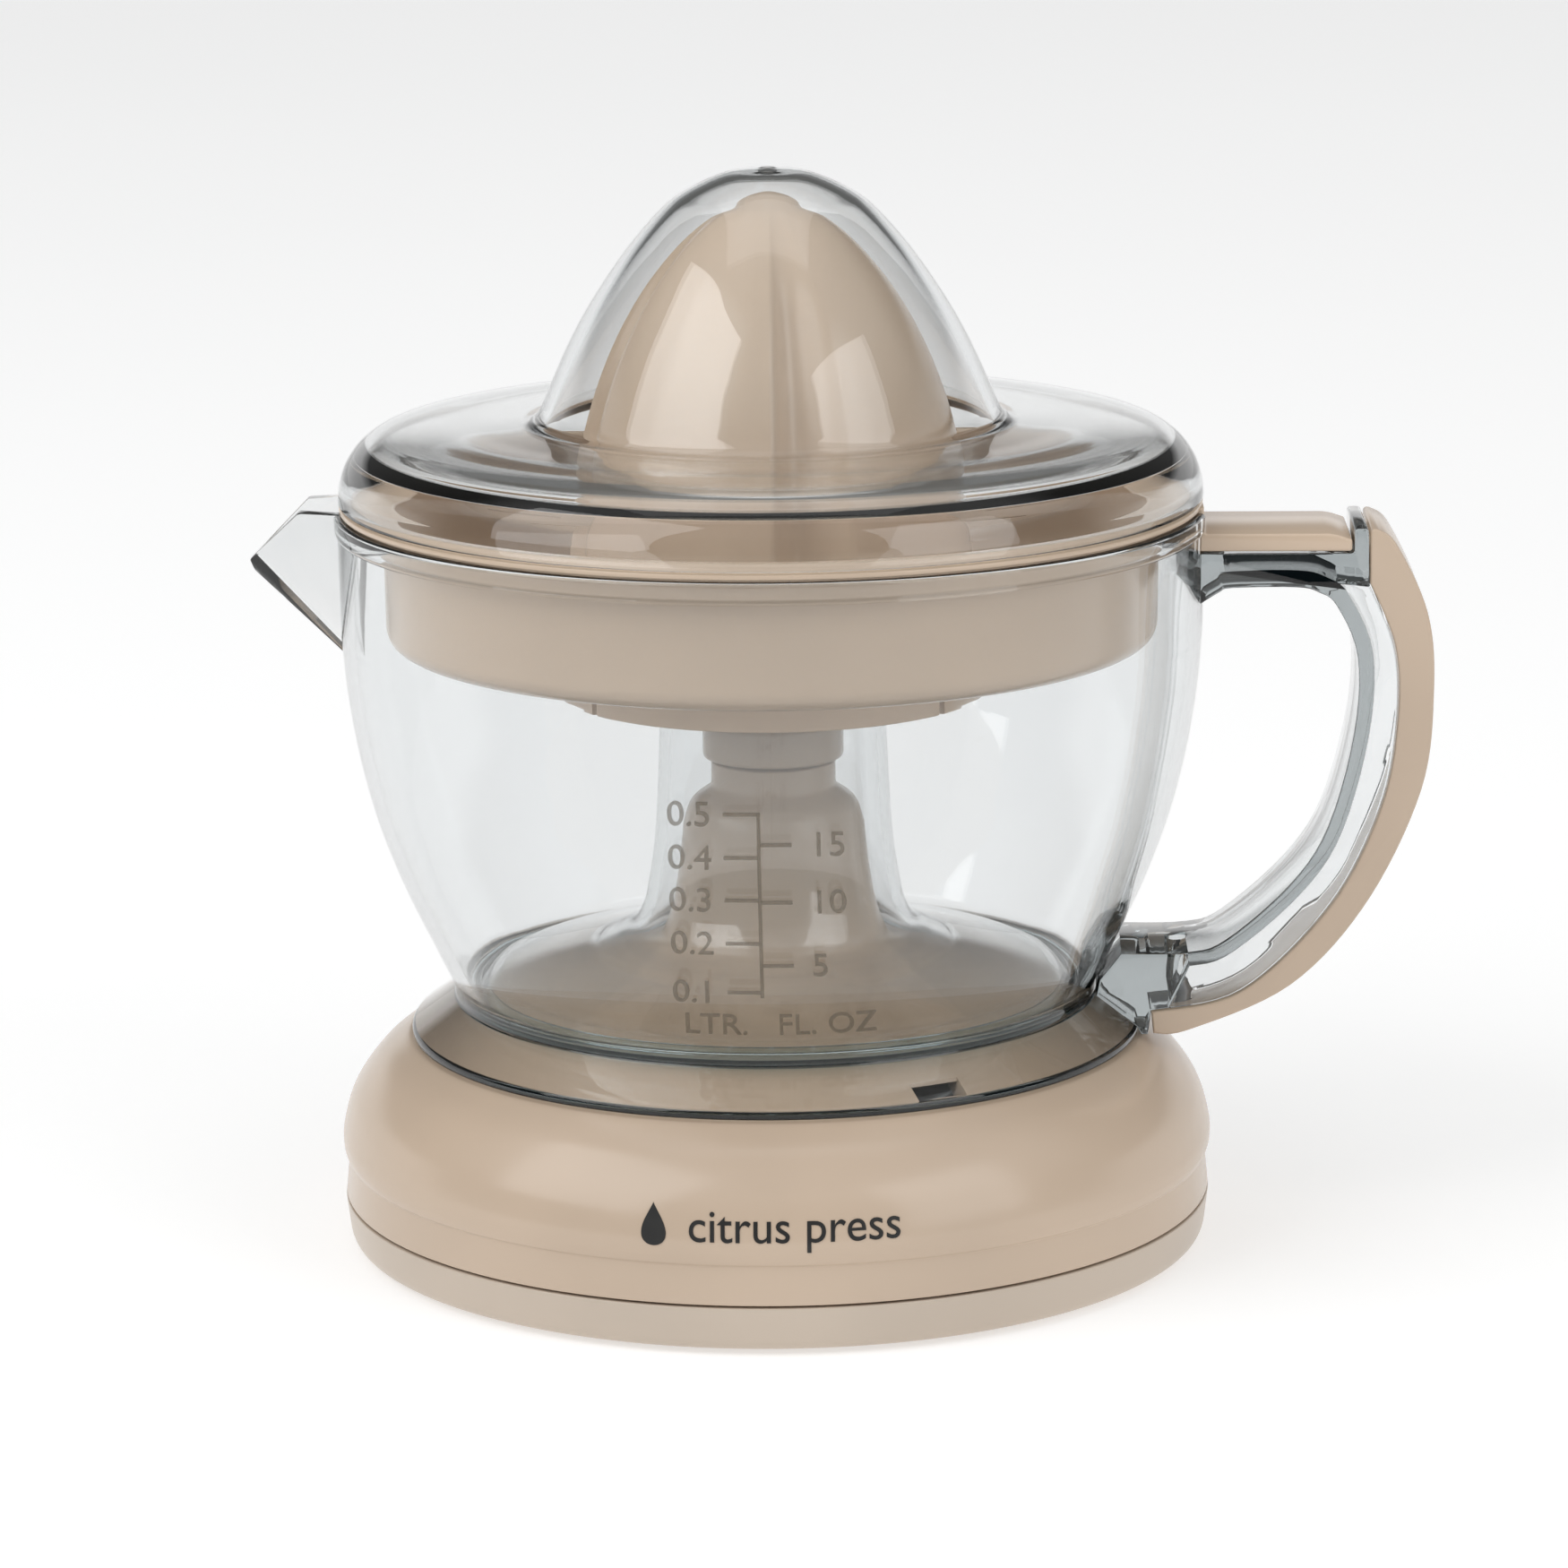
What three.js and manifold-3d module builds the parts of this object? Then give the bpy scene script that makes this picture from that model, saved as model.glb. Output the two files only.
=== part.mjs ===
// Electric citrus press: jug with strainer, fluted reamers and dust cover on a motor base.
// Millimetres, +Z up. Origin: the press axis on the table plane. +X: handle, -X: spout, -Y: front.
import * as THREE from 'three';
import { ConvexGeometry } from 'three/addons/geometries/ConvexGeometry.js';
import { mergeVertices } from 'three/addons/utils/BufferGeometryUtils.js';
import Module from 'manifold-3d';

const wasm = await Module();
wasm.setup();

// ---- driving dimensions ----
const FACETS = { large: 28, medium: 16, small: 8 };
const GAP = 0.3; // air between neighbouring pieces

const BASE = {
  underside: 1, floor: 3.2, seam: 9.1, bandTop: 16.7, ledge: 38.7, deck: 43.9, coneFoot: 47.3, coneTop: 53.9,
  radius: 80, ledgeRadius: 67.6, deckRadius: 56.2, coneRadius: 51.5, wall: 2.5,
};
const TOWER = {
  foot: 27.5, shoulder: 84.6, neck: 11.4, tip: 95.6, tipRadius: 9.4, seat: 6.6, roof: 83.6, bore: 3.9,
};
const JUG = {
  floor: 47.8, underside: 44.7, rim: 136.4, radius: 78.6, foot: 57.5, wall: 2.2, lift: 0.8,
  skirtEdge: 67.1, skirtFoot: 39.1, tubeFoot: 33.7, tubeTop: 104, tubeWall: 2,
};
const STRAINER = {
  floor: 114, underside: 112, lip: 136.7, rim: 139.2, radius: 70.6, collar: 75.5, lipRadius: 78.2,
};
const SLOTS = {
  inner: { count: 16, from: 17.5, to: 35, width: 2.8 },
  outer: { count: 20, from: 43, to: 62, width: 2 },
};
const COVER = { rim: 138, top: 197.4, domeFoot: 152.6, domeRadius: 42.6, radius: 78.4, wall: 2.1 };
const RING = { bottom: 102.3, radius: 39.3, wall: 1.8, bore: 13.6 };
const HANDLE = { width: 24, wall: 2.3, top: 129, plate: 105, plateTop: 133.4 };
const ARM = { bottom: 129.3, top: 132.5, end: 104.6, width: 24 };
const REAMER = { foot: 124, tip: 192.5, radius: 36.4, wall: 2.4, flutes: 4, ridge: -87, valley: 23 };
const SMALL_REAMER = { foot: 126.5, tip: 172, radius: 19 };
const SHAFT = {
  bottom: 8, top: 151.5, radius: 3, disc: 29.1, discRadius: 11, collar: 5, collarTop: 43, hex: 3.3,
};
const SLEEVE = { bottom: 89.8, shoulder: 104.9, top: 148, radius: 12.9, neck: 9.5, hex: 8.2 };
const PLATE = { bottom: 24.5, top: 26.5 };
const SWITCH = { x: 9.4, plunger: 1.2, body: [7.9, 19.4] };
const STATOR = { bottom: 9, top: 21, bore: 13.5, xs: [-52, -12], ys: [-46, 18] };
const GEARS = { output: 40, idlerPinion: 15, idlerWheel: 42, motor: 14, fineModule: 0.8, coarseModule: 1 };
const SPRING = { radius: 4.6, wire: 0.6, bottom: 12.6, top: 28.8, turns: 5 };
const FOOT = { circle: 64, radius: 6.5, top: 1.9 };
const SCREW = { shank: 1.5, head: 3.1, headHeight: 1.8, hole: 1.85 };
const BASE_SCREWS = { circle: 51, turns: [20, 140, 285], post: 4 };
const PLATE_SCREWS = [[0, -27], [-47, -8], [6, 30]];
const MOTOR_SCREWS = [[-47, 13.5], [-16.5, -12]];

// Gear centres: the idler meshes with the output wheel and with the motor pinion.
const MOTOR = { x: -32, y: 0 };
const outputCentres = (GEARS.coarseModule * (GEARS.output + GEARS.idlerPinion)) / 2;
const motorCentres = (GEARS.fineModule * (GEARS.idlerWheel + GEARS.motor)) / 2;
const idlerX = (outputCentres ** 2 - motorCentres ** 2 + MOTOR.x ** 2) / (2 * MOTOR.x);
const IDLER = { x: idlerX, y: Math.sqrt(outputCentres ** 2 - idlerX ** 2), pin: 2 };

// ---- finishes ----
const finish = (color, roughness, metalness = 0, opacity = 1) => new THREE.MeshStandardMaterial({
  color, roughness, metalness, opacity, transparent: opacity < 1,
});
const SAND = finish(0xcebdac, 0.25);
const SAND_SHADE = finish(0xbeb1a1, 0.3);
const CLEAR = finish(0xdce6e8, 0.05, 0, 0.35);
const RUBBER = finish(0x3a3835, 0.85);
const STEEL = finish(0xb9bcc0, 0.3, 1);
const IRON = finish(0x6f7276, 0.5, 1);
const COPPER = finish(0xb0673a, 0.4, 1);
const BRONZE = finish(0xa9824c, 0.4, 1);
const NYLON = finish(0xe9e6dc, 0.5);
const BLACK = finish(0x26282b, 0.5);

// ---- solid helpers ----
const rad = (degrees) => (degrees * Math.PI) / 180;
const polar = (radius, degrees) => [radius * Math.cos(rad(degrees)), radius * Math.sin(rad(degrees))];

// A closed three.js geometry as a manifold solid.
function solid(geometry) {
  const bare = geometry.clone();
  bare.deleteAttribute('normal');
  bare.deleteAttribute('uv');
  const merged = mergeVertices(bare, 1e-4);
  const index = merged.getIndex().array;
  const faces = [];
  for (let i = 0; i < index.length; i += 3) {
    const [a, b, c] = index.slice(i, i + 3);
    if (a !== b && b !== c && c !== a) faces.push(a, b, c);
  }
  const vertProperties = new Float32Array(merged.getAttribute('position').array);
  return new wasm.Manifold(new wasm.Mesh({ numProp: 3, vertProperties, triVerts: new Uint32Array(faces) }));
}

const at = (body, x = 0, y = 0, z = 0) => body.translate([x, y, z]);
const union = (bodies) => bodies.reduce((whole, body) => whole.add(body));
const cut = (body, tools) => tools.reduce((rest, tool) => rest.subtract(tool), body);

// A profile of [radius, z] points turned about Z, whichever way round it is written.
function turned(profile, facets = FACETS.large) {
  const area = profile.reduce((sum, [r, z], i) => {
    const [r2, z2] = profile[(i + 1) % profile.length];
    return sum + r * z2 - r2 * z;
  }, 0);
  const ordered = area > 0 ? profile : [...profile].reverse();
  const last = ordered.length - 1;
  const onAxis = ordered.findIndex(([r], i) => r === 0 && ordered[i > 0 ? i - 1 : last][0] === 0);
  const open = onAxis >= 0;
  const start = open ? onAxis : 0;
  const loop = [...ordered.slice(start), ...ordered.slice(0, start)];
  if (!open) loop.push(loop[0]);
  const points = loop.map(([r, z]) => new THREE.Vector2(r, z));
  return solid(new THREE.LatheGeometry(points, facets).rotateX(Math.PI / 2));
}

const rod = (radius, z0, z1, facets = FACETS.medium) => (
  turned([[0, z0], [radius, z0], [radius, z1], [0, z1]], facets)
);
const pipe = (inner, outer, z0, z1, facets = FACETS.medium) => (
  turned([[inner, z0], [outer, z0], [outer, z1], [inner, z1]], facets)
);
const hexagon = (radius, z0, z1) => rod(radius, z0, z1, 6);

function box([x0, x1], [y0, y1], [z0, z1]) {
  const geometry = new THREE.BoxGeometry(x1 - x0, y1 - y0, z1 - z0);
  return at(solid(geometry), (x0 + x1) / 2, (y0 + y1) / 2, (z0 + z1) / 2);
}

// A flat outline of [x, y] points raised from z0 to z1.
function prism(outline, z0, z1) {
  const shape = new THREE.Shape(outline.map(([x, y]) => new THREE.Vector2(x, y)));
  const geometry = new THREE.ExtrudeGeometry(shape, { depth: z1 - z0, bevelEnabled: false });
  return at(solid(geometry), 0, 0, z0);
}

// An outline of [x, z] points, as wide as `width` across Y.
const slab = (outline, width) => at(prism(outline, 0, width).rotate([90, 0, 0]), 0, width / 2, 0);

// A smooth line through a few points.
function smooth(points, steps) {
  const curve = new THREE.SplineCurve(points.map(([x, y]) => new THREE.Vector2(x, y)));
  return curve.getPoints(steps).map((p) => [p.x, p.y]);
}

// The line `distance` to the right of an open line, seen along it.
function offset(line, distance) {
  return line.map(([x, y], i) => {
    const before = line[Math.max(i - 1, 0)];
    const after = line[Math.min(i + 1, line.length - 1)];
    const length = Math.hypot(after[0] - before[0], after[1] - before[1]);
    const step = distance / length;
    return [x + step * (after[1] - before[1]), y - step * (after[0] - before[0])];
  });
}

const around = (count, make) => Array.from({ length: count }, (_, i) => make((360 * i) / count, i));

// Slotted screw along +Z, its head's underside at z = 0.
function screw(length) {
  const body = turned([
    [0, -SCREW.headHeight], [SCREW.head, -SCREW.headHeight], [SCREW.head, 0],
    [SCREW.shank, 0], [SCREW.shank, length], [0, length],
  ], FACETS.small);
  return cut(body, [box([-1.9, 1.9], [-0.4, 0.4], [-SCREW.headHeight - 1, -SCREW.headHeight + 0.9])]);
}

// ---- the assembly ----
const group = new THREE.Group();

function add(name, body, material) {
  const { vertProperties, triVerts } = body.getMesh();
  const geometry = new THREE.BufferGeometry();
  geometry.setAttribute('position', new THREE.BufferAttribute(new Float32Array(vertProperties), 3));
  geometry.setIndex(new THREE.BufferAttribute(new Uint32Array(triVerts), 1));
  geometry.computeVertexNormals();
  const mesh = new THREE.Mesh(geometry, material);
  mesh.name = name;
  group.add(mesh);
}

// ---- base housing ----
const screwPlaces = BASE_SCREWS.turns.map((turn) => polar(BASE_SCREWS.circle, turn));
const footPlaces = [45, 135, 225, 315].map((turn) => polar(FOOT.circle, turn));
const glandHole = at(rod(5.3, -12, 12).rotate([90, 0, 0]), 0, BASE.radius - 4, BASE.seam);
const DRAIN = { turns: [-61, 119], radii: [60, 63.4], width: 9.4 };

function lowerShell() {
  const { underside, floor, seam, radius, wall } = BASE;
  const pan = turned([
    [0, underside], [radius - 2.2, underside], [radius - 0.9, underside + 1], [radius, seam - GAP / 2],
    [radius - wall, seam - GAP / 2], [radius - wall - 0.8, floor], [0, floor],
  ]);
  const shaftBoss = rod(7.5, underside + 1, 12.1);
  const bosses = screwPlaces.map(([x, y]) => at(rod(6, underside + 1, 8, FACETS.small), x, y));
  const shaftBore = rod(SHAFT.radius + GAP, 4.4, 20);
  const heads = screwPlaces.map(([x, y]) => at(rod(SCREW.head + 0.5, 0, 5, FACETS.small), x, y));
  const shanks = screwPlaces.map(([x, y]) => at(rod(SCREW.hole, 4, 9, FACETS.small), x, y));
  const recess = rod(FOOT.radius + GAP, 0, FOOT.top + GAP);
  const recesses = footPlaces.map(([x, y]) => at(recess, x, y));
  const vents = [0, 1, 2, 3, 4].map((i) => at(box([-44, -41.5], [-24, 8], [0, 4]), 5.5 * i));
  const tools = [shaftBore, ...heads, ...shanks, ...recesses, ...vents, glandHole];
  return cut(union([pan, shaftBoss, ...bosses]), tools);
}

// The tower that carries the drive shaft up through the jug. It stands in the middle of the housing.
function driveTower() {
  const { foot, shoulder, neck, tip, tipRadius, seat, roof, bore } = TOWER;
  const underDeck = BASE.coneTop - BASE.wall;
  const flare = smooth([
    [foot, BASE.coneTop], [24.4, 54.3], [21.6, 55.6], [20.2, 58], [18.6, 62.8], [16.6, 77.7],
  ], 5);
  return turned([
    ...flare, [15.2, 81.4], [neck, shoulder], [neck, 89], [tipRadius, 89.4],
    [tipRadius, tip], [seat, tip], [seat, roof + 2.9], [bore, roof + 2.9], [bore, roof], [13.8, 77.5],
    [15.8, 62.8], [18.4, 55], [22, underDeck], [26, underDeck - 0.4], [foot, underDeck - 0.4],
  ]);
}

function upperHousing() {
  const { seam, bandTop, ledge, deck, coneFoot, coneTop } = BASE;
  const { radius, ledgeRadius, deckRadius, coneRadius, wall } = BASE;
  const crown = [
    [radius + 0.1, bandTop + 0.4], [radius, 22], [77.6, 28.8], [73.2, 34.4], [ledgeRadius, ledge],
  ];
  const hole = TOWER.foot + GAP;
  const deckLine = [[ledgeRadius - 2, ledge], [deckRadius, deck], [coneRadius, coneFoot], [hole, coneTop]];
  const shell = turned([
    [radius - 0.1, seam + GAP / 2], [radius - 0.8, bandTop], ...smooth(crown, 5), ...deckLine,
    [hole, coneTop - wall], [coneRadius - 0.8, coneFoot - wall], [deckRadius - 0.8, deck - wall], [71, 32.4],
    [77.4, 21], [77.3, seam + GAP / 2],
  ]);
  const roomLine = deckLine.map(([r, z]) => [r, z - wall / 2]);
  const underDeck = turned([[0, 0], [ledgeRadius, 0], ...roomLine, [0, coneTop]]);
  const post = rod(BASE_SCREWS.post, 8 + GAP, coneTop, FACETS.small);
  const pilot = rod(SCREW.hole, 7, 24, FACETS.small);
  const stud = rod(3.4, PLATE.top + GAP, coneTop, FACETS.small);
  const studPilot = rod(SCREW.hole, PLATE.top - 1, 38, FACETS.small);
  const posts = screwPlaces.map(([x, y]) => at(post, x, y));
  const pilots = screwPlaces.map(([x, y]) => at(pilot, x, y));
  const studs = PLATE_SCREWS.map(([x, y]) => at(stud, x, y));
  const studPilots = PLATE_SCREWS.map(([x, y]) => at(studPilot, x, y));
  const drains = DRAIN.turns.map((turn) => (
    box(DRAIN.radii, [-DRAIN.width / 2, DRAIN.width / 2], [34, 50]).rotate([0, 0, turn])
  ));
  const towerRoom = rod(hole, coneTop - wall - 0.4 - GAP, coneTop + 1, FACETS.large);
  const columns = union([...posts, ...studs]).intersect(underDeck);
  return cut(shell.add(columns), [...pilots, ...studPilots, ...drains, glandHole, towerRoom]);
}

add('lower_shell', lowerShell(), SAND_SHADE);
add('upper_housing', upperHousing(), SAND);
add('drive_tower', driveTower(), SAND);
footPlaces.forEach(([x, y], i) => {
  const { radius, top } = FOOT;
  const foot = turned([[0, 0], [radius - 0.8, 0], [radius, 0.8], [radius, top], [0, top]], FACETS.medium);
  add(`foot_${i + 1}`, at(foot, x, y), RUBBER);
});
screwPlaces.forEach(([x, y], i) => add(`base_screw_${i + 1}`, at(screw(15), x, y, 4.7), STEEL));

const gland = turned([
  [1.95, 0], [5.6, 0], [5.6, 1.4], [5, 1.4], [5, 6.6], [4.2, 7.2], [1.95, 7.2],
], FACETS.medium);
add('cord_gland', at(gland.rotate([-90, 0, 0]), 0, 74, BASE.seam), BLACK);

// ---- gear train ----
// Involute wheel: `teeth` of module m, one tooth centred on `phase` (radians).
function wheel(teeth, m, z0, z1, phase, flankPoints) {
  const pitch = (m * teeth) / 2;
  const pressure = rad(20);
  const involute = (angle) => Math.tan(angle) - angle;
  const baseRadius = pitch * Math.cos(pressure);
  const backlash = 0.13;
  const root = pitch - 1.3 * m;
  const tip = pitch + 0.9 * m;
  const halfTooth = (r) => {
    const angle = r > baseRadius ? Math.acos(baseRadius / r) : 0;
    return Math.PI / (2 * teeth) - backlash / pitch + involute(pressure) - involute(angle);
  };
  const radii = Array.from({ length: flankPoints }, (_, i) => root + ((tip - root) * i) / (flankPoints - 1));
  const outline = [];
  for (let tooth = 0; tooth < teeth; tooth += 1) {
    const centre = phase + (2 * Math.PI * tooth) / teeth;
    const rise = radii.map((r) => [r, centre - halfTooth(r)]);
    const fall = [...radii].reverse().map((r) => [r, centre + halfTooth(r)]);
    [...rise, ...fall].forEach(([r, turn]) => outline.push([r * Math.cos(turn), r * Math.sin(turn)]));
  }
  return prism(outline, z0, z1);
}

const toIdler = Math.atan2(IDLER.y, IDLER.x);
const toMotor = Math.atan2(MOTOR.y - IDLER.y, MOTOR.x - IDLER.x);
const meshed = (direction, teeth) => direction + Math.PI + Math.PI / teeth;
const LEVEL = { fine: [30.6, 34.6], coarse: [35.4, 40] };

const outputWheel = wheel(GEARS.output, GEARS.coarseModule, LEVEL.coarse[0], LEVEL.coarse[1], toIdler, 2);
add('output_gear', cut(outputWheel, [hexagon(SHAFT.collar + 2 * GAP, 30, 50)]), NYLON);

const idlerPhase = meshed(toIdler, GEARS.idlerPinion);
const idlerBody = union([
  pipe(IDLER.pin + GAP, 5, PLATE.top + GAP, LEVEL.fine[0] + 1, FACETS.small),
  wheel(GEARS.idlerWheel, GEARS.fineModule, LEVEL.fine[0], LEVEL.fine[1], toMotor, 2),
  wheel(GEARS.idlerPinion, GEARS.coarseModule, LEVEL.fine[1] - 0.5, LEVEL.coarse[1], idlerPhase, 3),
]);
const idlerBore = rod(IDLER.pin + GAP, 20, 50, FACETS.small);
add('idler_gear', at(cut(idlerBody, [idlerBore]), IDLER.x, IDLER.y), NYLON);
add('idler_pin', at(rod(IDLER.pin, PLATE.bottom - 0.8, 41, FACETS.small), IDLER.x, IDLER.y), STEEL);

const motorPinion = wheel(GEARS.motor, GEARS.fineModule, 30.2, 35, meshed(toMotor, GEARS.motor), 3);
add('motor_pinion', at(cut(motorPinion, [rod(2 + GAP, 20, 50, FACETS.small)]), MOTOR.x, MOTOR.y), BRONZE);

const PLATE_OUTLINE = [
  [-18, -22], [-7, -31], [6, -31], [16, -20], [16, 26], [8, 36], [-24, 38], [-30, 33], [-46, 20], [-51.5, 19],
  [-51.5, -14],
];
const plateHoles = [
  rod(7, 20, 30),
  at(rod(SWITCH.plunger + GAP, 20, 30, FACETS.small), SWITCH.x, 0),
  at(rod(5.3, 20, 30), MOTOR.x, MOTOR.y),
  at(rod(IDLER.pin + GAP, 20, 30, FACETS.small), IDLER.x, IDLER.y),
  ...[...PLATE_SCREWS, ...MOTOR_SCREWS].map(([x, y]) => at(rod(SCREW.hole, 20, 30, FACETS.small), x, y)),
];
add('gear_plate', cut(prism(PLATE_OUTLINE, PLATE.bottom, PLATE.top), plateHoles), STEEL);
PLATE_SCREWS.forEach(([x, y], i) => {
  add(`plate_screw_${i + 1}`, at(screw(10), x, y, PLATE.bottom - GAP), STEEL);
});

// ---- motor: C-shaped core with a bore for the rotor and a coil on its far leg ----
const [coreLeft, coreRight] = STATOR.xs;
const [coreFront, coreBack] = STATOR.ys;
const LEG = { y: [coreFront, coreFront + 10], window: [coreFront + 10, coreFront + 30] };
const stator = cut(box(STATOR.xs, STATOR.ys, [STATOR.bottom, STATOR.top]), [
  at(rod(STATOR.bore, 0, 30), MOTOR.x, MOTOR.y),
  box([coreLeft + 8, coreRight - 8], LEG.window, [0, 30]),
  ...MOTOR_SCREWS.map(([x, y]) => at(rod(SCREW.hole, 0, 30, FACETS.small), x, y)),
]);
add('motor_core', stator, IRON);

const COIL = 4.8;
const coilSpan = [coreLeft + 8 + GAP, coreRight - 8 - GAP];
const roundLeg = (xs, grow) => (
  box(xs, [LEG.y[0] - grow, LEG.y[1] + grow], [STATOR.bottom - grow, STATOR.top + grow])
);
add('motor_coil', cut(roundLeg(coilSpan, COIL), [roundLeg([coreLeft, coreRight], GAP)]), COPPER);

const rotor = turned([
  [0, 5.6], [2, 5.6], [2, STATOR.bottom], [STATOR.bore - 0.5, STATOR.bottom],
  [STATOR.bore - 0.5, STATOR.top], [2, STATOR.top], [2, 36], [0, 36],
], FACETS.medium);
add('motor_rotor', at(rotor, MOTOR.x, MOTOR.y), IRON);
const bearing = (z0, z1) => at(pipe(2 + GAP, 5, z0, z1, FACETS.medium), MOTOR.x, MOTOR.y);
add('motor_bearing_upper', bearing(PLATE.bottom - 1, PLATE.top + 0.6), BRONZE);
add('motor_bearing_lower', bearing(5, 8), BRONZE);

const [strapEnd, strapStart] = MOTOR_SCREWS;
const strapHalf = 5.6;
const strap = [
  [strapEnd[0] - 4, strapEnd[1] + 3.5], [strapEnd[0] - 3, strapEnd[1] - 5],
  [strapStart[0] + 3, strapStart[1] - 4], [strapStart[0] + 4, strapStart[1] + 5],
];
const bridge = cut(union([
  prism(strap, 5.4, 8.4),
  at(rod(strapHalf + 2.4, 5.4, 8.4), MOTOR.x, MOTOR.y),
]), [
  at(rod(strapHalf - GAP, 0, 20), MOTOR.x, MOTOR.y),
  ...MOTOR_SCREWS.map(([x, y]) => at(rod(SCREW.hole, 0, 20, FACETS.small), x, y)),
]);
add('motor_bridge', bridge, STEEL);
const spacer = pipe(SCREW.hole, 3.2, STATOR.top + GAP, PLATE.bottom - GAP, FACETS.small);
MOTOR_SCREWS.forEach(([x, y], i) => {
  add(`motor_screw_${i + 1}`, at(screw(22).rotate([180, 0, 0]), x, y, PLATE.top + GAP), STEEL);
  add(`motor_spacer_${i + 1}`, at(spacer, x, y), STEEL);
});

// ---- drive shaft, its return spring and the switch it presses ----
const shaftRound = turned([
  [0, SHAFT.bottom], [2.5, SHAFT.bottom], [SHAFT.radius, SHAFT.bottom + 0.6], [SHAFT.radius, SHAFT.disc],
  [SHAFT.discRadius, SHAFT.disc], [SHAFT.discRadius, SHAFT.disc + 1.2], [SHAFT.radius, SHAFT.disc + 1.2],
  [SHAFT.radius, 100], [0, 100],
], FACETS.medium);
const shaftCollar = hexagon(SHAFT.collar, SHAFT.disc + 1, SHAFT.collarTop);
add('drive_shaft', union([shaftRound, shaftCollar, hexagon(SHAFT.hex, 99, SHAFT.top)]), STEEL);
add('tower_bush', pipe(SHAFT.radius + GAP, TOWER.seat - GAP, TOWER.roof + 3.2, TOWER.tip - GAP), BRONZE);

function spring() {
  const rise = SPRING.top - SPRING.bottom - 2 * SPRING.wire;
  class Helix extends THREE.Curve {
    getPoint(t, target = new THREE.Vector3()) {
      const turn = 2 * Math.PI * SPRING.turns * t;
      const z = SPRING.bottom + SPRING.wire + rise * t;
      return target.set(SPRING.radius * Math.cos(turn), SPRING.radius * Math.sin(turn), z);
    }
  }
  const section = new THREE.Shape().absarc(0, 0, SPRING.wire, 0, 2 * Math.PI);
  return solid(new THREE.ExtrudeGeometry(section, {
    steps: 9 * SPRING.turns, extrudePath: new Helix(), curveSegments: 2, bevelEnabled: false,
  }));
}
add('return_spring', spring(), STEEL);

const switchBody = cut(box(SWITCH.body, [-5.2, 5.2], [12, PLATE.bottom - GAP]), [
  at(rod(SWITCH.plunger + GAP, 15.5, 40, FACETS.small), SWITCH.x, 0),
]);
add('switch_body', switchBody, BLACK);
add('switch_plunger', at(rod(SWITCH.plunger, 18.5, SHAFT.disc - GAP, FACETS.small), SWITCH.x, 0), NYLON);

// ---- drive sleeve: drip skirt over the tower, guide neck in the strainer, hexagonal drive above ----
const sleeveRound = turned([
  [TOWER.tipRadius + 0.6, SLEEVE.bottom], [SLEEVE.radius - 0.4, SLEEVE.bottom],
  [SLEEVE.radius, SLEEVE.bottom + 0.5], [SLEEVE.radius, SLEEVE.shoulder], [SLEEVE.neck, SLEEVE.shoulder],
  [SLEEVE.neck, 121.6], [10.5, 121.6],
  [10.5, 122.8], [0, 122.8], [0, 97.2], [TOWER.tipRadius + 0.6, 97.2],
], FACETS.medium);
const shaftWay = hexagon(SHAFT.hex + 2 * GAP, 90, 160);
const sleeve = cut(union([sleeveRound, hexagon(SLEEVE.hex, 122, SLEEVE.top)]), [shaftWay]);
add('drive_sleeve', sleeve, SAND);

// ---- reamers: four ridges, each with a hollow beside it ----
// Angles from one ridge to the next, close together in the hollow and wide apart on the round side.
const LOBE = [0, 5, 12, REAMER.valley, 38, 54, 72];

function fluted(profile, depth) {
  const facets = LOBE.length * REAMER.flutes;
  const points = profile.map(([r, z]) => new THREE.Vector2(r, z));
  const geometry = new THREE.LatheGeometry(points, facets);
  const position = geometry.getAttribute('position');
  const height = profile[profile.length - 1][1] - profile[0][1];
  for (let i = 0; i < position.count; i += 1) {
    const column = Math.floor(i / profile.length) % facets;
    const [radius, z] = profile[i % profile.length];
    const lobe = LOBE[column % LOBE.length];
    const turn = rad(REAMER.ridge + 90 * Math.floor(column / LOBE.length) + lobe);
    const share = Math.min(lobe / REAMER.valley, 1);
    const hollow = lobe < REAMER.valley ? Math.sin(Math.PI * share ** 0.7) : 0;
    const fade = Math.min(1, (profile[profile.length - 1][1] - z) / (0.3 * height));
    const r = radius * (1 - depth * hollow * fade);
    position.setXYZ(i, r * Math.cos(turn), r * Math.sin(turn), z);
  }
  return solid(geometry);
}

function reamerLine(foot, tip, radius, steps) {
  const height = tip - foot;
  return Array.from({ length: steps + 1 }, (_, i) => {
    const rise = Math.sin((Math.PI / 2) * (i / steps));
    return [radius * (1 - rise ** 2.15) ** 0.62, foot + height * rise];
  });
}

const largeOuter = reamerLine(REAMER.foot, REAMER.tip, REAMER.radius, 8);
const largeInner = reamerLine(REAMER.foot - 1, REAMER.tip - REAMER.wall * 2, REAMER.radius - REAMER.wall, 5);
const smallOuter = reamerLine(SMALL_REAMER.foot, SMALL_REAMER.tip, SMALL_REAMER.radius, 4);
const smallRoom = reamerLine(SMALL_REAMER.foot - 4, SMALL_REAMER.tip + 1.5, SMALL_REAMER.radius + 1, 4);
const closed = (line) => [[0, line[0][1]], ...line.slice(0, -1), [0, line[line.length - 1][1]]];

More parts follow.
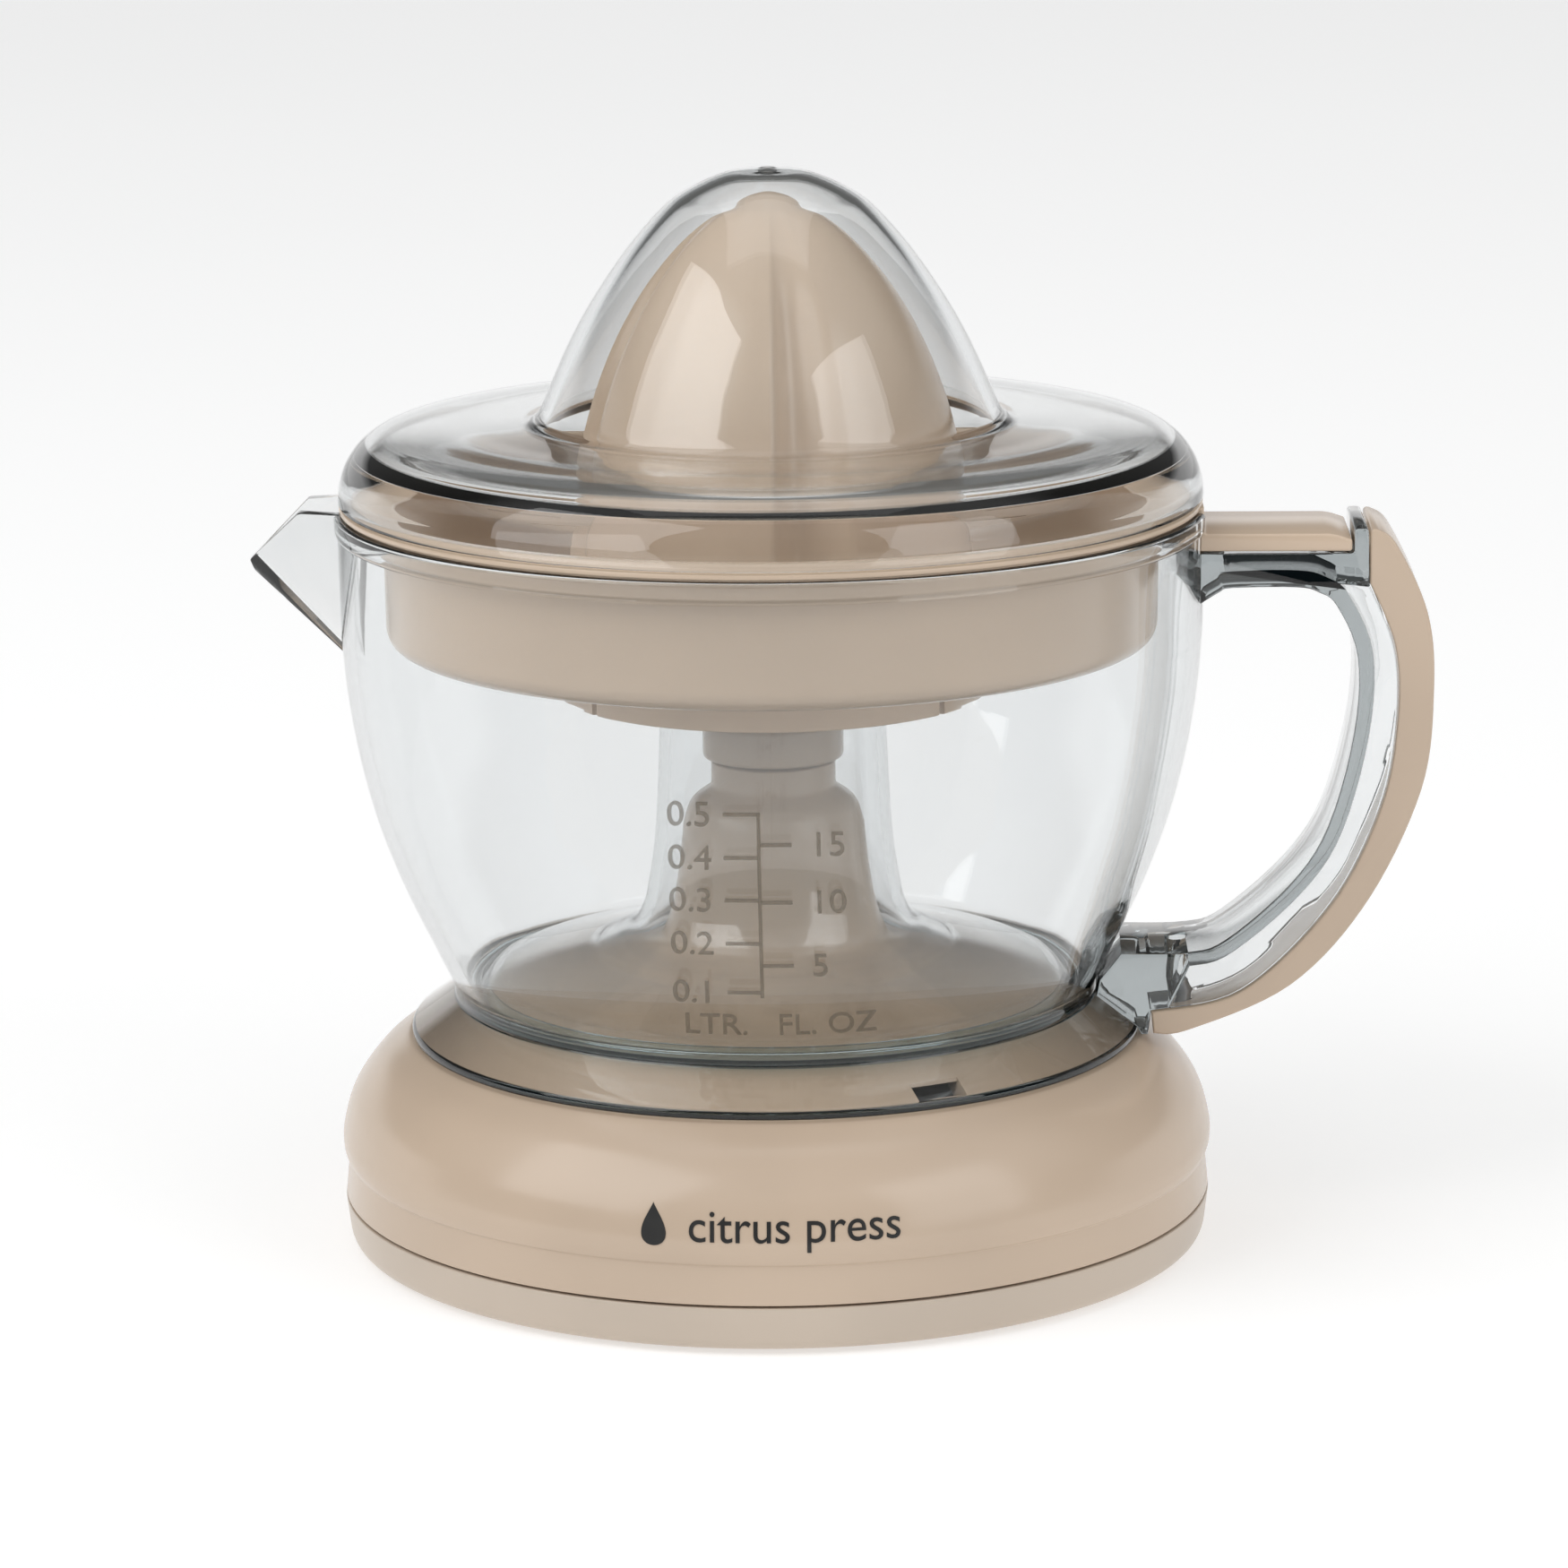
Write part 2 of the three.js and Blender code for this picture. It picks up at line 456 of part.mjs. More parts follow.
const largeSolid = fluted(closed(largeOuter), 0.14);
const largeHollow = fluted(closed(largeInner), 0.16);
const rib = box([-40, 40], [-1, 1], [REAMER.foot + 3, 200]);
const driveRibs = [45, 135].map((turn) => rib.rotate([0, 0, turn]));
const ribs = union(driveRibs).intersect(largeHollow).subtract(turned(closed(smallRoom), FACETS.large));
add('large_reamer', union([cut(largeSolid, [largeHollow]), ribs.intersect(largeSolid)]), SAND);
const smallSocket = hexagon(SLEEVE.hex + 2 * GAP, 120, SHAFT.top + GAP);
const smallReamer = cut(fluted(closed(smallOuter), 0.14), [smallSocket]);
add('small_reamer', smallReamer, SAND);

// ---- strainer, with the arm that lies on the handle ----
function slotCutters({ count, from, to, width }, z0, z1) {
  const cutter = box([from, to], [-width / 2, width / 2], [z0, z1]);
  return around(count, (angle) => cutter.rotate([0, 0, angle]));
}

function strainer() {
  const { floor, underside, lip, rim, radius, collar, lipRadius } = STRAINER;
  const dish = turned([
    [SLEEVE.neck + 0.5, 105.4], [13.1, 105.4], [13.1, 107.6], [14.4, 108], [14.4, 109.2], [13.1, 109.4],
    [13.1, underside], [radius - 2.2, underside], [radius - 0.3, underside + 2], [radius + 0.2, lip - 4.9],
    [collar, lip - 3.9], [collar, lip], [lipRadius, lip], [lipRadius, lip + 1], [75.9, lip + 1],
    [75.6, rim], [radius - 0.6, rim], [radius - 1.8, lip], [radius - 2.3, floor + 1.5], [radius - 3.8, floor],
    [14, floor], [13.1, floor + 1], [12.6, 121.2], [SLEEVE.neck + 0.5, 121.2],
  ]);
  const arm = slab([
    [radius - 1.5, ARM.bottom], [ARM.end, ARM.bottom], [ARM.end, ARM.top - 1], [ARM.end - 3.4, ARM.top],
    [lipRadius - 0.2, ARM.top], [lipRadius - 0.2, lip + 0.5], [radius - 1.5, lip + 0.5],
  ], ARM.width);
  const slots = [SLOTS.inner, SLOTS.outer].flatMap((ring) => slotCutters(ring, underside - 1, floor + 1));
  return cut(union([dish, arm]), slots);
}
add('strainer', strainer(), SAND);

function pulpRing() {
  const top = STRAINER.underside - GAP;
  const cup = turned([
    [RING.bore, top - 1.8], [RING.radius - RING.wall, top - 1.8], [RING.radius - RING.wall, RING.bottom],
    [RING.radius, RING.bottom], [RING.radius, top], [RING.bore, top],
  ]);
  const notch = box([RING.radius - 4, RING.radius + 1], [-0.75, 0.75], [RING.bottom - 1, RING.bottom + 2.6]);
  const notches = [-142, -38, 38, 142].map((turn) => notch.rotate([0, 0, turn]));
  return cut(cup, [...slotCutters(SLOTS.inner, RING.bottom - 1, 120), ...notches]);
}
add('pulp_ring', pulpRing(), SAND);

// ---- dust cover ----
const domeLine = smooth([
  [0, COVER.top], [7, COVER.top - 0.7], [14.6, 193.5], [24.8, 183.8], [33.6, 170.8], [38.5, 161],
  [COVER.domeRadius, COVER.domeFoot],
], 7);
const shoulderLine = smooth([
  [52, 151.7], [61, 151.4], [69.6, 150.2], [73.9, 148.1], [76.7, 145], [78.1, 141.3],
  [COVER.radius, COVER.rim],
], 5);
const coverLine = [...domeLine, ...shoulderLine];
const coverInside = offset(coverLine, COVER.wall).reverse();
coverInside[0] = [COVER.radius - COVER.wall, COVER.rim];
coverInside[coverInside.length - 1] = [0, COVER.top - COVER.wall];
add('dust_cover', turned([...coverLine, ...coverInside]), CLEAR);

// ---- jug, with its centre tube, skirt, spout and handle frame ----
const GRIP_LINE = [
  [107.8, 122.9], [112.3, 111.5], [112.8, 97.8], [110, 82.1], [101.2, 64.1], [85.3, 48.1], [69, 44.2],
];
const FINGER_LINE = [
  [77, 119.4], [83.2, 122.6], [94.8, 122.7], [102, 119.2], [105.8, 109.9], [105.3, 95.8], [100.8, 78.6],
  [94.1, 67.9], [82.6, 57.6], [63.5, 55],
];
const OUTER_LINE = [
  [109.2, 133.2], [112.6, 130.4], [118.3, 117.9], [119.6, 103.8], [117.6, 85.5], [108, 64.5], [94.3, 49],
  [76, 40.6], [69.4, 39.9],
];

// The jug's outer shape as one full solid, grown by `grow`: the handle and the spout stop at it.
const BOWL_LINE = [[58.7, 47.6], [63.1, 57], [68.2, 68], [72.7, 80], [75.7, 92], [77.6, 104], [78.3, 114]];
const bowlLine = [...smooth(BOWL_LINE, 5), [JUG.radius, JUG.rim - 4]];
const skirtLine = [
  [JUG.skirtEdge - 1.5, JUG.skirtFoot], [JUG.skirtEdge, JUG.skirtFoot], [JUG.skirtEdge, JUG.skirtFoot + 1.5],
];
const beadLine = [[JUG.radius + 0.6, JUG.rim - 3.6], [JUG.radius + 0.6, JUG.rim]];

function bowlSolid(grow) {
  const line = offset([...skirtLine.slice(1), ...bowlLine, ...beadLine], grow);
  const bottom = JUG.skirtFoot - grow;
  return turned([[0, bottom], [line[0][0], bottom], ...line.slice(1), [0, JUG.rim]]);
}

function handleFrame() {
  const innerLine = smooth(FINGER_LINE, 16);
  const outer = smooth(GRIP_LINE, 12);
  const { wall, top, plate, plateTop, width } = HANDLE;
  const outline = [
    [77, top], [plate, top], [plate, plateTop], [plate + 2.5, plateTop], ...outer, [68.4, 39.7], [67.2, 39.7],
    [66.4, 41.2], [59, 47], [59.6, 50], ...[...innerLine].reverse(),
  ];
  const pocket = [...offset(innerLine.slice(4, -3), -wall), ...offset(outer, -3).reverse().slice(1, -1)];
  return cut(slab(outline, width), [slab(pocket, width - 2 * wall), bowlSolid(GAP), gripScrewHole()]);
}

function spout(grow, back, lift) {
  const points = [
    [back, 13.6, JUG.rim], [-85, 9.4, JUG.rim], [-95, 1.4, 126.5], [-94.4, 0, 124.6], [back, 0, 101],
  ];
  const corners = points.flatMap(([x, y, z]) => {
    const edge = z === JUG.rim ? z + lift : z + grow * 1.6;
    const inward = x === back ? x : x + grow * 0.7;
    const side = Math.max(y - grow, 0.2);
    return [new THREE.Vector3(inward, side, edge), new THREE.Vector3(inward, -side, edge)];
  });
  return solid(new ConvexGeometry(corners));
}
const pourChannel = spout(1.9, -72, 3);

// Height of the jug's floor, which rises over the cone of the housing.
function floorAt(radius) {
  const { coneFoot, coneTop, coneRadius } = BASE;
  const rise = (coneTop - coneFoot) / (coneRadius - TOWER.foot - GAP);
  return coneFoot + (coneRadius - radius) * rise + JUG.lift + JUG.wall;
}

function jug() {
  const { floor, underside, rim, radius, foot, wall, lift, tubeFoot } = JUG;
  const { coneFoot, coneRadius } = BASE;
  const bowlInside = offset(bowlLine, -wall).reverse();
  const body = turned([
    [foot - 1.5, underside], ...skirtLine, ...bowlLine, ...beadLine, [radius - wall, rim],
    ...bowlInside.slice(0, -1), [foot - 2, floor], [coneRadius + 0.7, coneFoot + lift + wall],
    [tubeFoot + GAP, floorAt(tubeFoot)], [tubeFoot + GAP, floorAt(tubeFoot) - wall],
    [coneRadius - 0.4, coneFoot + lift],
  ]);
  const notch = box([70, 82], [-ARM.width / 2 - 0.5, ARM.width / 2 + 0.5], [HANDLE.top, 160]);
  return cut(body, [pourChannel, notch]);
}

function jugTube() {
  const { wall, tubeFoot, tubeTop, tubeWall } = JUG;
  const tube = smooth([
    [29.6, floorAt(29)], [26, 58.4], [24.2, 62], [23.2, 66], [21.6, 78], [20.4, tubeTop],
  ], 5);
  const tubeInside = offset(tube, -tubeWall).reverse();
  return turned([
    [tubeFoot, floorAt(tubeFoot) - wall], [tubeFoot, floorAt(tubeFoot)], ...tube, ...tubeInside.slice(0, -1),
    [29, floorAt(29) - wall],
  ]);
}

function gripScrewHole() {
  return at(rod(SCREW.hole, -10, 20, FACETS.small), 74, 0, 42);
}
add('jug', jug(), CLEAR);
add('jug_tube', jugTube(), CLEAR);
add('jug_handle', handleFrame(), CLEAR);
add('jug_spout', cut(spout(0, -70, 0), [bowlSolid(GAP), pourChannel]), CLEAR);

function handleGrip() {
  const inner = offset(smooth(GRIP_LINE, 12), -GAP).reverse();
  const plateFace = HANDLE.plate + 2.5 + GAP;
  const outline = [[plateFace, HANDLE.plateTop], ...smooth(OUTER_LINE, 14), ...inner, [plateFace, 123.2]];
  return slab(outline, HANDLE.width);
}
const counterbore = at(rod(SCREW.head + GAP, -5, GAP / 2, FACETS.medium), 74, 0, 42);
add('handle_grip', cut(handleGrip(), [gripScrewHole(), counterbore]), SAND);
add('grip_screw', at(screw(8), 74, 0, 42), STEEL);

export default group;
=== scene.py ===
import math

import bmesh
import bpy
from mathutils import Matrix, Vector


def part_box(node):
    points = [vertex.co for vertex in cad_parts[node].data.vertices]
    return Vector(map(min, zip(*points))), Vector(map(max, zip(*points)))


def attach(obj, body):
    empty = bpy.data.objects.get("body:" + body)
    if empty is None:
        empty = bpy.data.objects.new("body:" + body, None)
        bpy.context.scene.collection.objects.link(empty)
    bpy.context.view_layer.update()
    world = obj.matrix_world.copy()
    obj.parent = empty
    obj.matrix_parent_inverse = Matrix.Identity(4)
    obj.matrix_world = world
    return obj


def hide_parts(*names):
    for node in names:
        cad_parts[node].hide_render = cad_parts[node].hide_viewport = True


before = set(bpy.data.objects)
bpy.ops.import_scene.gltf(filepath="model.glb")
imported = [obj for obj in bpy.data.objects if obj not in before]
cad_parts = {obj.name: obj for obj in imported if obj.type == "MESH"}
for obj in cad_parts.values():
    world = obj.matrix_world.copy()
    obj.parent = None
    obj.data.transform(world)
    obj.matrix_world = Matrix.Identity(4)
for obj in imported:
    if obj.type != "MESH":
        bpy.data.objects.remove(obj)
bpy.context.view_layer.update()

# Lengths below are millimetres unless a name says otherwise; MM turns them into Blender's metres.
# The press axis is Z, the handle points along +X, the spout along -X and the jug's scale along -Y.
MM = 0.001
FULL = 2 * math.pi
FINE = 192      # facets round the big mouldings
MEDIUM = 96
SMALL = 48


def extent(node):
    """Lowest and highest corner of a CAD node, in millimetres."""
    low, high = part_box(node)
    return Vector(low) / MM, Vector(high) / MM


COVER_LOW, COVER_HIGH = extent("dust_cover")
_, JUG_HIGH = extent("jug")
_, STRAINER_HIGH = extent("strainer")
RING_LOW, RING_HIGH = extent("pulp_ring")
REAMER_LOW, REAMER_HIGH = extent("large_reamer")
SMALL_LOW, SMALL_HIGH = extent("small_reamer")
SLEEVE_LOW, SLEEVE_HIGH = extent("drive_sleeve")
_, TOWER_HIGH = extent("drive_tower")
_, SHELL_HIGH = extent("lower_shell")
SHAFT_LOW, SHAFT_HIGH = extent("drive_shaft")
BUSH_LOW, BUSH_HIGH = extent("tower_bush")

BASE_RADIUS = SHELL_HIGH.x
SEAM = 9.2
LEDGE = 38.7
DECK = 43.9
JUG_RIM = JUG_HIGH.z
CONE_RADIUS, CONE_FOOT, CONE_TOP = 51.5, 47.3, 53.9    # the deck's rise towards the tower
COVER_RADIUS = COVER_HIGH.x
COVER_WALL = 2.1
JUG_WALL = 2.2


# ---------------------------------------------------------------- materials
class Signal:
    """A shader socket that plain Python arithmetic works on: each operator adds its Math node."""

    def __init__(self, tree, socket):
        self.tree, self.socket = tree, socket

    def math(self, operation, *values):
        return self.tree.node("ShaderNodeMath", {"operation": operation}, values)

    def __add__(self, other):
        return self.math("ADD", self, other)

    def __sub__(self, other):
        return self.math("SUBTRACT", self, other)

    def __rsub__(self, other):
        return self.math("SUBTRACT", other, self)

    def __mul__(self, other):
        return self.math("MULTIPLY", self, other)

    __radd__ = __add__
    __rmul__ = __mul__


class Finish:
    """One procedural material, built on Object coordinates."""

    def __init__(self, name):
        self.material = bpy.data.materials.new(name)
        self.material.use_nodes = True
        self.nodes = self.material.node_tree.nodes
        self.nodes.clear()
        self.output = self.nodes.new("ShaderNodeOutputMaterial")
        self.place = self.node("ShaderNodeTexCoord", out="Object")

    def node(self, kind, settings=None, inputs=(), out=0):
        """Adds a node: its settings first, then the values or links of its sockets, by name or in order."""
        made = self.nodes.new(kind)
        for key, value in (settings or {}).items():
            if key == "stops":
                self.set_stops(made.color_ramp, value)
            else:
                setattr(made, key, value)
        pairs = inputs.items() if isinstance(inputs, dict) else enumerate(inputs)
        for key, value in pairs:
            if isinstance(value, Signal):
                self.material.node_tree.links.new(value.socket, made.inputs[key])
            else:
                made.inputs[key].default_value = value
        return Signal(self, made.outputs[out])

    @staticmethod
    def set_stops(ramp, stops):
        while len(ramp.elements) < len(stops):
            ramp.elements.new(0.5)
        for element, (position, colour) in zip(ramp.elements, stops):
            element.position = position
            element.color = colour

    def noise(self, scale, detail=3.0, roughness=0.5, place=None):
        return self.node("ShaderNodeTexNoise", None,
                         {"Vector": place or self.place, "Scale": scale, "Detail": detail,
                          "Roughness": roughness})

    def ramp(self, signal, *stops):
        return self.node("ShaderNodeValToRGB", {"stops": stops}, {"Fac": signal})

    def mix(self, factor, first, second, blend="MIX"):
        return self.node("ShaderNodeMix", {"data_type": "RGBA", "blend_type": blend},
                         {"Factor": factor, "A": first, "B": second}, out="Result")

    def bump(self, height, strength, distance):
        return self.node("ShaderNodeBump", None,
                         {"Height": height, "Strength": strength, "Distance": distance})

    def surface(self, shader):
        self.material.node_tree.links.new(shader.socket, self.output.inputs["Surface"])
        return self.material


def srgb(red, green, blue):
    """An 8-bit display colour as linear RGBA."""
    def linear(value):
        value /= 255
        return value / 12.92 if value <= 0.04045 else ((value + 0.055) / 1.055) ** 2.4
    return (linear(red), linear(green), linear(blue), 1.0)


def moulded(name, colour, roughness, grain=0.0):
    """Injection-moulded plastic: a breath of colour drift, flow marks in the gloss, faint orange peel."""
    f = Finish(name)
    drift = f.noise(22, 2)
    flow = f.noise(9, 4, 0.6, f.node("ShaderNodeMapping", None, {"Vector": f.place, "Scale": (1, 1, 3.2)}))
    darker = tuple(0.955 * c for c in colour[:3]) + (1,)
    lighter = tuple(min(1, 1.03 * c) for c in colour[:3]) + (1,)
    tone = f.mix(f.ramp(drift, (0.35, (0, 0, 0, 1)), (0.65, (1, 1, 1, 1))), darker, lighter)
    peel = f.noise(420, 2, 0.4) * 0.35 + f.noise(95, 1, 0.3) * 0.65
    specks = f.node("ShaderNodeTexVoronoi", {"feature": "F1"}, {"Vector": f.place, "Scale": 900})
    height = peel + specks * grain
    return f.surface(f.node("ShaderNodeBsdfPrincipled", None, {
        "Base Color": tone,
        "Roughness": roughness + (flow - 0.5) * 0.12,
        "IOR": 1.5,
        "Normal": f.bump(height, 0.05 + 0.1 * grain, 0.0004),
    }))


def clear(name, tint=(0.37, 0.42, 0.43, 1), density=60.0):
    """Clear plastic whose tint only long paths through the wall bring out."""
    f = Finish(name)
    haze = f.noise(14, 3, 0.55)
    wave = f.noise(16, 2, 0.4)
    body = f.node("ShaderNodeBsdfPrincipled", None, {
        "Base Color": (0.995, 0.998, 1.0, 1),
        "Roughness": 0.012 + haze * 0.012,
        "IOR": 1.53,
        "Transmission Weight": 1.0,
        "Normal": f.bump(wave, 0.04, 0.0006),
    })
    passing = f.node("ShaderNodeBsdfTransparent", None, {"Color": (0.99, 0.985, 0.97, 1)})
    shadow = f.node("ShaderNodeLightPath", out="Is Shadow Ray")
    both = f.node("ShaderNodeMixShader", None, (shadow, body, passing))
    absorb = f.node("ShaderNodeVolumeAbsorption", None, {"Color": tint, "Density": density})
    f.material.node_tree.links.new(absorb.socket, f.output.inputs["Volume"])
    return f.surface(both)


def raised_marks(name):
    """Thin raised lettering in the clear wall, mostly see-through, coloured a darker brown as painted shade
    for the dark outlines its edges show.
    """
    f = Finish(name)
    edge = f.noise(180, 2)
    return f.surface(f.node("ShaderNodeBsdfPrincipled", None, {
        # Painted shade: the clear lettering is tinted a darker brown.
        "Base Color": f.mix(edge, srgb(96, 86, 72), srgb(126, 114, 98)),
        "Roughness": 0.12 + edge * 0.1,
        "Alpha": 0.4 + edge * 0.1,
        "Normal": f.bump(edge, 0.2, 0.0002),
    }))


def metal(name, colour, roughness, scale=(40, 40, 900)):
    """Drawn or turned metal: fine lines along one direction and faint stains."""
    f = Finish(name)
    lines = f.noise(1, 4, 0.6, f.node("ShaderNodeMapping", None, {"Vector": f.place, "Scale": scale}))
    stain = f.noise(60, 3)
    darker = tuple(0.8 * c for c in colour[:3]) + (1,)
    return f.surface(f.node("ShaderNodeBsdfPrincipled", None, {
        "Base Color": f.mix(stain, darker, colour),
        "Metallic": 1.0,
        "Roughness": roughness + (lines - 0.5) * 0.2,
        "Normal": f.bump(lines, 0.15, 0.0002),
    }))


def rubber(name):
    f = Finish(name)
    grain = f.noise(700, 4, 0.6)
    dust = f.noise(45, 3)
    return f.surface(f.node("ShaderNodeBsdfPrincipled", None, {
        "Base Color": f.mix(dust, srgb(44, 42, 40), srgb(60, 57, 54)),
        "Roughness": 0.72 + grain * 0.2,
        "Normal": f.bump(grain, 0.35, 0.0003),
    }))


def winding(name):
    """Varnished copper wire, layer beside layer."""
    f = Finish(name)
    rings = f.node("ShaderNodeTexWave", {"wave_type": "BANDS", "bands_direction": "X"},
                   {"Vector": f.place, "Scale": 700, "Distortion": 0.4, "Detail": 1})
    return f.surface(f.node("ShaderNodeBsdfPrincipled", None, {
        "Base Color": f.mix(rings, srgb(96, 48, 22), srgb(186, 104, 56)),
        "Metallic": 0.7,
        "Roughness": 0.3 + rings * 0.15,
        "Normal": f.bump(rings, 0.6, 0.0003),
    }))


def laminations(name):
    """Stacked sheet iron seen on its cut edges."""
    f = Finish(name)
    sheets = f.node("ShaderNodeTexWave", {"wave_type": "BANDS", "bands_direction": "Z"},
                    {"Vector": f.place, "Scale": 320, "Distortion": 0.2})
    return f.surface(f.node("ShaderNodeBsdfPrincipled", None, {
        "Base Color": f.mix(sheets, srgb(70, 72, 76), srgb(128, 130, 134)),
        "Metallic": 0.9,
        "Roughness": 0.5 - sheets * 0.15,
        "Normal": f.bump(sheets, 0.5, 0.0003),
    }))


def printed(name):
    f = Finish(name)
    edge = f.noise(260, 2)
    return f.surface(f.node("ShaderNodeBsdfPrincipled", None, {
        "Base Color": f.mix(edge, srgb(22, 21, 20), srgb(34, 32, 30)),
        "Roughness": 0.38 + edge * 0.1,
        "Normal": f.bump(edge, 0.1, 0.0001),
    }))


SAND = moulded("glossy_sand_plastic", srgb(198, 177, 156), 0.2)
SAND_GREY = moulded("satin_grey_sand_plastic", srgb(197, 182, 166), 0.3)
SAND_DISH = moulded("strainer_sand_plastic", srgb(204, 182, 160), 0.2)
CLEAR = clear("clear_styrene")
# A dark teal, strongly absorbing copy of the clear plastic: painted shade for the jug's lower corner.
FOOT_SHADE_CLEAR = clear("painted_shade_clear_styrene", tint=(0.05, 0.38, 0.46, 1), density=230.0)
# Painted shade: a see-through darker brown for the clear raised lettering.
SHADED_MARKS = raised_marks("raised_marks_painted_shade")
ZINC = metal("zinc_plated_steel", srgb(176, 178, 182), 0.32)
BRONZE = metal("sintered_bronze", srgb(176, 134, 82), 0.45)
RUBBER = rubber("soft_black_rubber")
BLACK = moulded("matt_black_plastic", srgb(38, 39, 41), 0.55, grain=1.0)
NYLON = moulded("natural_nylon", srgb(232, 228, 216), 0.42)
COPPER = winding("copper_winding")
IRON = laminations("laminated_iron")
INK = printed("printed_ink")


# ---------------------------------------------------------------- modelling helpers
def smooth_line(points, steps):
    """Catmull-Rom line through a few (radius, z) points."""
    line = []
    last = len(points) - 1
    for step in range(steps + 1):
        t = last * step / steps
        i = min(int(t), last - 1)
        p0, p1, p2, p3 = (Vector(points[min(max(k, 0), last)]) for k in (i - 1, i, i + 1, i + 2))
        t -= i
        spot = 0.5 * (2 * p1 + (p2 - p0) * t + (2 * p0 - 5 * p1 + 4 * p2 - p3) * t ** 2
                      + (3 * p1 - p0 - 3 * p2 + p3) * t ** 3)
        line.append(tuple(spot))
    return line


def beside(line, distance):
    """The line `distance` to the right of an open line, seen along it."""
    moved = []
    for i, (x, y) in enumerate(line):
        ahead = Vector(line[min(i + 1, len(line) - 1)]) - Vector(line[max(i - 1, 0)])
        ahead.normalize()
        moved.append((x + distance * ahead.y, y - distance * ahead.x))
    return moved


def outline_mesh(outline):
    """The (u, v) points of an outline as vertices in the XZ plane. A third number rounds its corner."""
    bm = bmesh.new()
    spots = [bm.verts.new((p[0] * MM, 0, p[1] * MM)) for p in outline]
    return bm, spots


def round_corners(bm, spots, outline):
    for spot, point in zip(spots, outline):
        if len(point) > 2:
            bmesh.ops.bevel(bm, geom=[spot, *spot.link_edges], offset=point[2] * MM, offset_type="OFFSET",
                            segments=4, profile=0.5, affect="VERTICES", material=-1, clamp_overlap=True)


def closed_wire(outline):
    bm, spots = outline_mesh(outline)
    for i, spot in enumerate(spots):
        bm.edges.new((spot, spots[(i + 1) % len(spots)]))
    round_corners(bm, spots, outline)
    return bm


def open_wire(outline):
    bm, spots = outline_mesh(outline)
    for first, second in zip(spots, spots[1:]):
        bm.edges.new((first, second))
    round_corners(bm, spots, outline)
    return bm


def turn(bm, facets):
    """Spins the wire in bm about the press axis."""
    bmesh.ops.spin(bm, geom=bm.verts[:] + bm.edges[:], cent=(0, 0, 0), axis=(0, 0, 1), dvec=(0, 0, 0),
                   angle=FULL, steps=facets, use_merge=True, use_duplicate=False)
    bmesh.ops.remove_doubles(bm, verts=bm.verts, dist=1e-6)
    bmesh.ops.dissolve_degenerate(bm, edges=bm.edges, dist=1e-7)
    bmesh.ops.recalc_face_normals(bm, faces=bm.faces)
    return bm


def turned(outline, facets=FINE):
    """A closed (radius, z) outline turned about the press axis. One on the axis starts and ends there."""
    on_axis = abs(outline[0][0]) < 1e-9 and abs(outline[-1][0]) < 1e-9
    return turn(open_wire(outline) if on_axis else closed_wire(outline), facets)


def slab(outline, width, edge=0.0, segments=3):
    """An (x, z) outline extruded across Y, its long edges rounded."""
    bm = closed_wire(outline)
    face = bmesh.ops.contextual_create(bm, geom=bm.edges[:])["faces"][0]
    grown = bmesh.ops.extrude_face_region(bm, geom=[face])["geom"]
    moved = [g for g in grown if isinstance(g, bmesh.types.BMVert)]
    bmesh.ops.translate(bm, verts=bm.verts, vec=(0, -width / 2 * MM, 0))
    bmesh.ops.translate(bm, verts=moved, vec=(0, width * MM, 0))
    bmesh.ops.recalc_face_normals(bm, faces=bm.faces)
    if edge:
        rims = [e for e in bm.edges if abs(e.verts[0].co.y - e.verts[1].co.y) < 1e-7]
        bmesh.ops.bevel(bm, geom=rims, offset=edge * MM, offset_type="OFFSET", segments=segments, profile=0.5,
                        affect="EDGES", material=-1, clamp_overlap=True)
    return bm


def cylinder(radius, low, high, facets=SMALL, centre=(0, 0)):
    bm = bmesh.new()
    bmesh.ops.create_cone(bm, cap_ends=True, cap_tris=False, segments=facets, radius1=radius * MM,
                          radius2=radius * MM, depth=(high - low) * MM)
    bmesh.ops.translate(bm, verts=bm.verts, vec=(centre[0] * MM, centre[1] * MM, (low + high) / 2 * MM))
    return bm


def block(low, high):
    bm = bmesh.new()
    bmesh.ops.create_cube(bm, size=1)
    size = Vector(high) - Vector(low)
    bmesh.ops.scale(bm, vec=size * MM, verts=bm.verts)
    bmesh.ops.translate(bm, verts=bm.verts, vec=(Vector(low) + Vector(high)) / 2 * MM)
    return bm


def turned_by(bm, degrees, axis="Z"):
    bmesh.ops.rotate(bm, verts=bm.verts, cent=(0, 0, 0),
                     matrix=Matrix.Rotation(math.radians(degrees), 3, axis))
    return bm


def moved_by(bm, x, y, z):
    bmesh.ops.translate(bm, verts=bm.verts, vec=(x * MM, y * MM, z * MM))
    return bm


def joined(*parts):
    """One bmesh from several closed ones that may run into each other."""
    whole = bmesh.new()
    for part in parts:
        mesh = bpy.data.meshes.new("part")
        part.to_mesh(mesh)
        whole.from_mesh(mesh)
        bpy.data.meshes.remove(mesh)
        part.free()
    return whole


def thing(name, bm, crease=40):
    """A named object from bm, smooth but for edges sharper than `crease` degrees."""
    mesh = bpy.data.meshes.new(name)
    for face in bm.faces:
        face.smooth = True
    for edge in bm.edges:
        edge.smooth = edge.is_manifold and edge.calc_face_angle(0) < math.radians(crease)
    bm.to_mesh(mesh)
    bm.free()
    made = bpy.data.objects.new(name, mesh)
    bpy.context.scene.collection.objects.link(made)
    return made


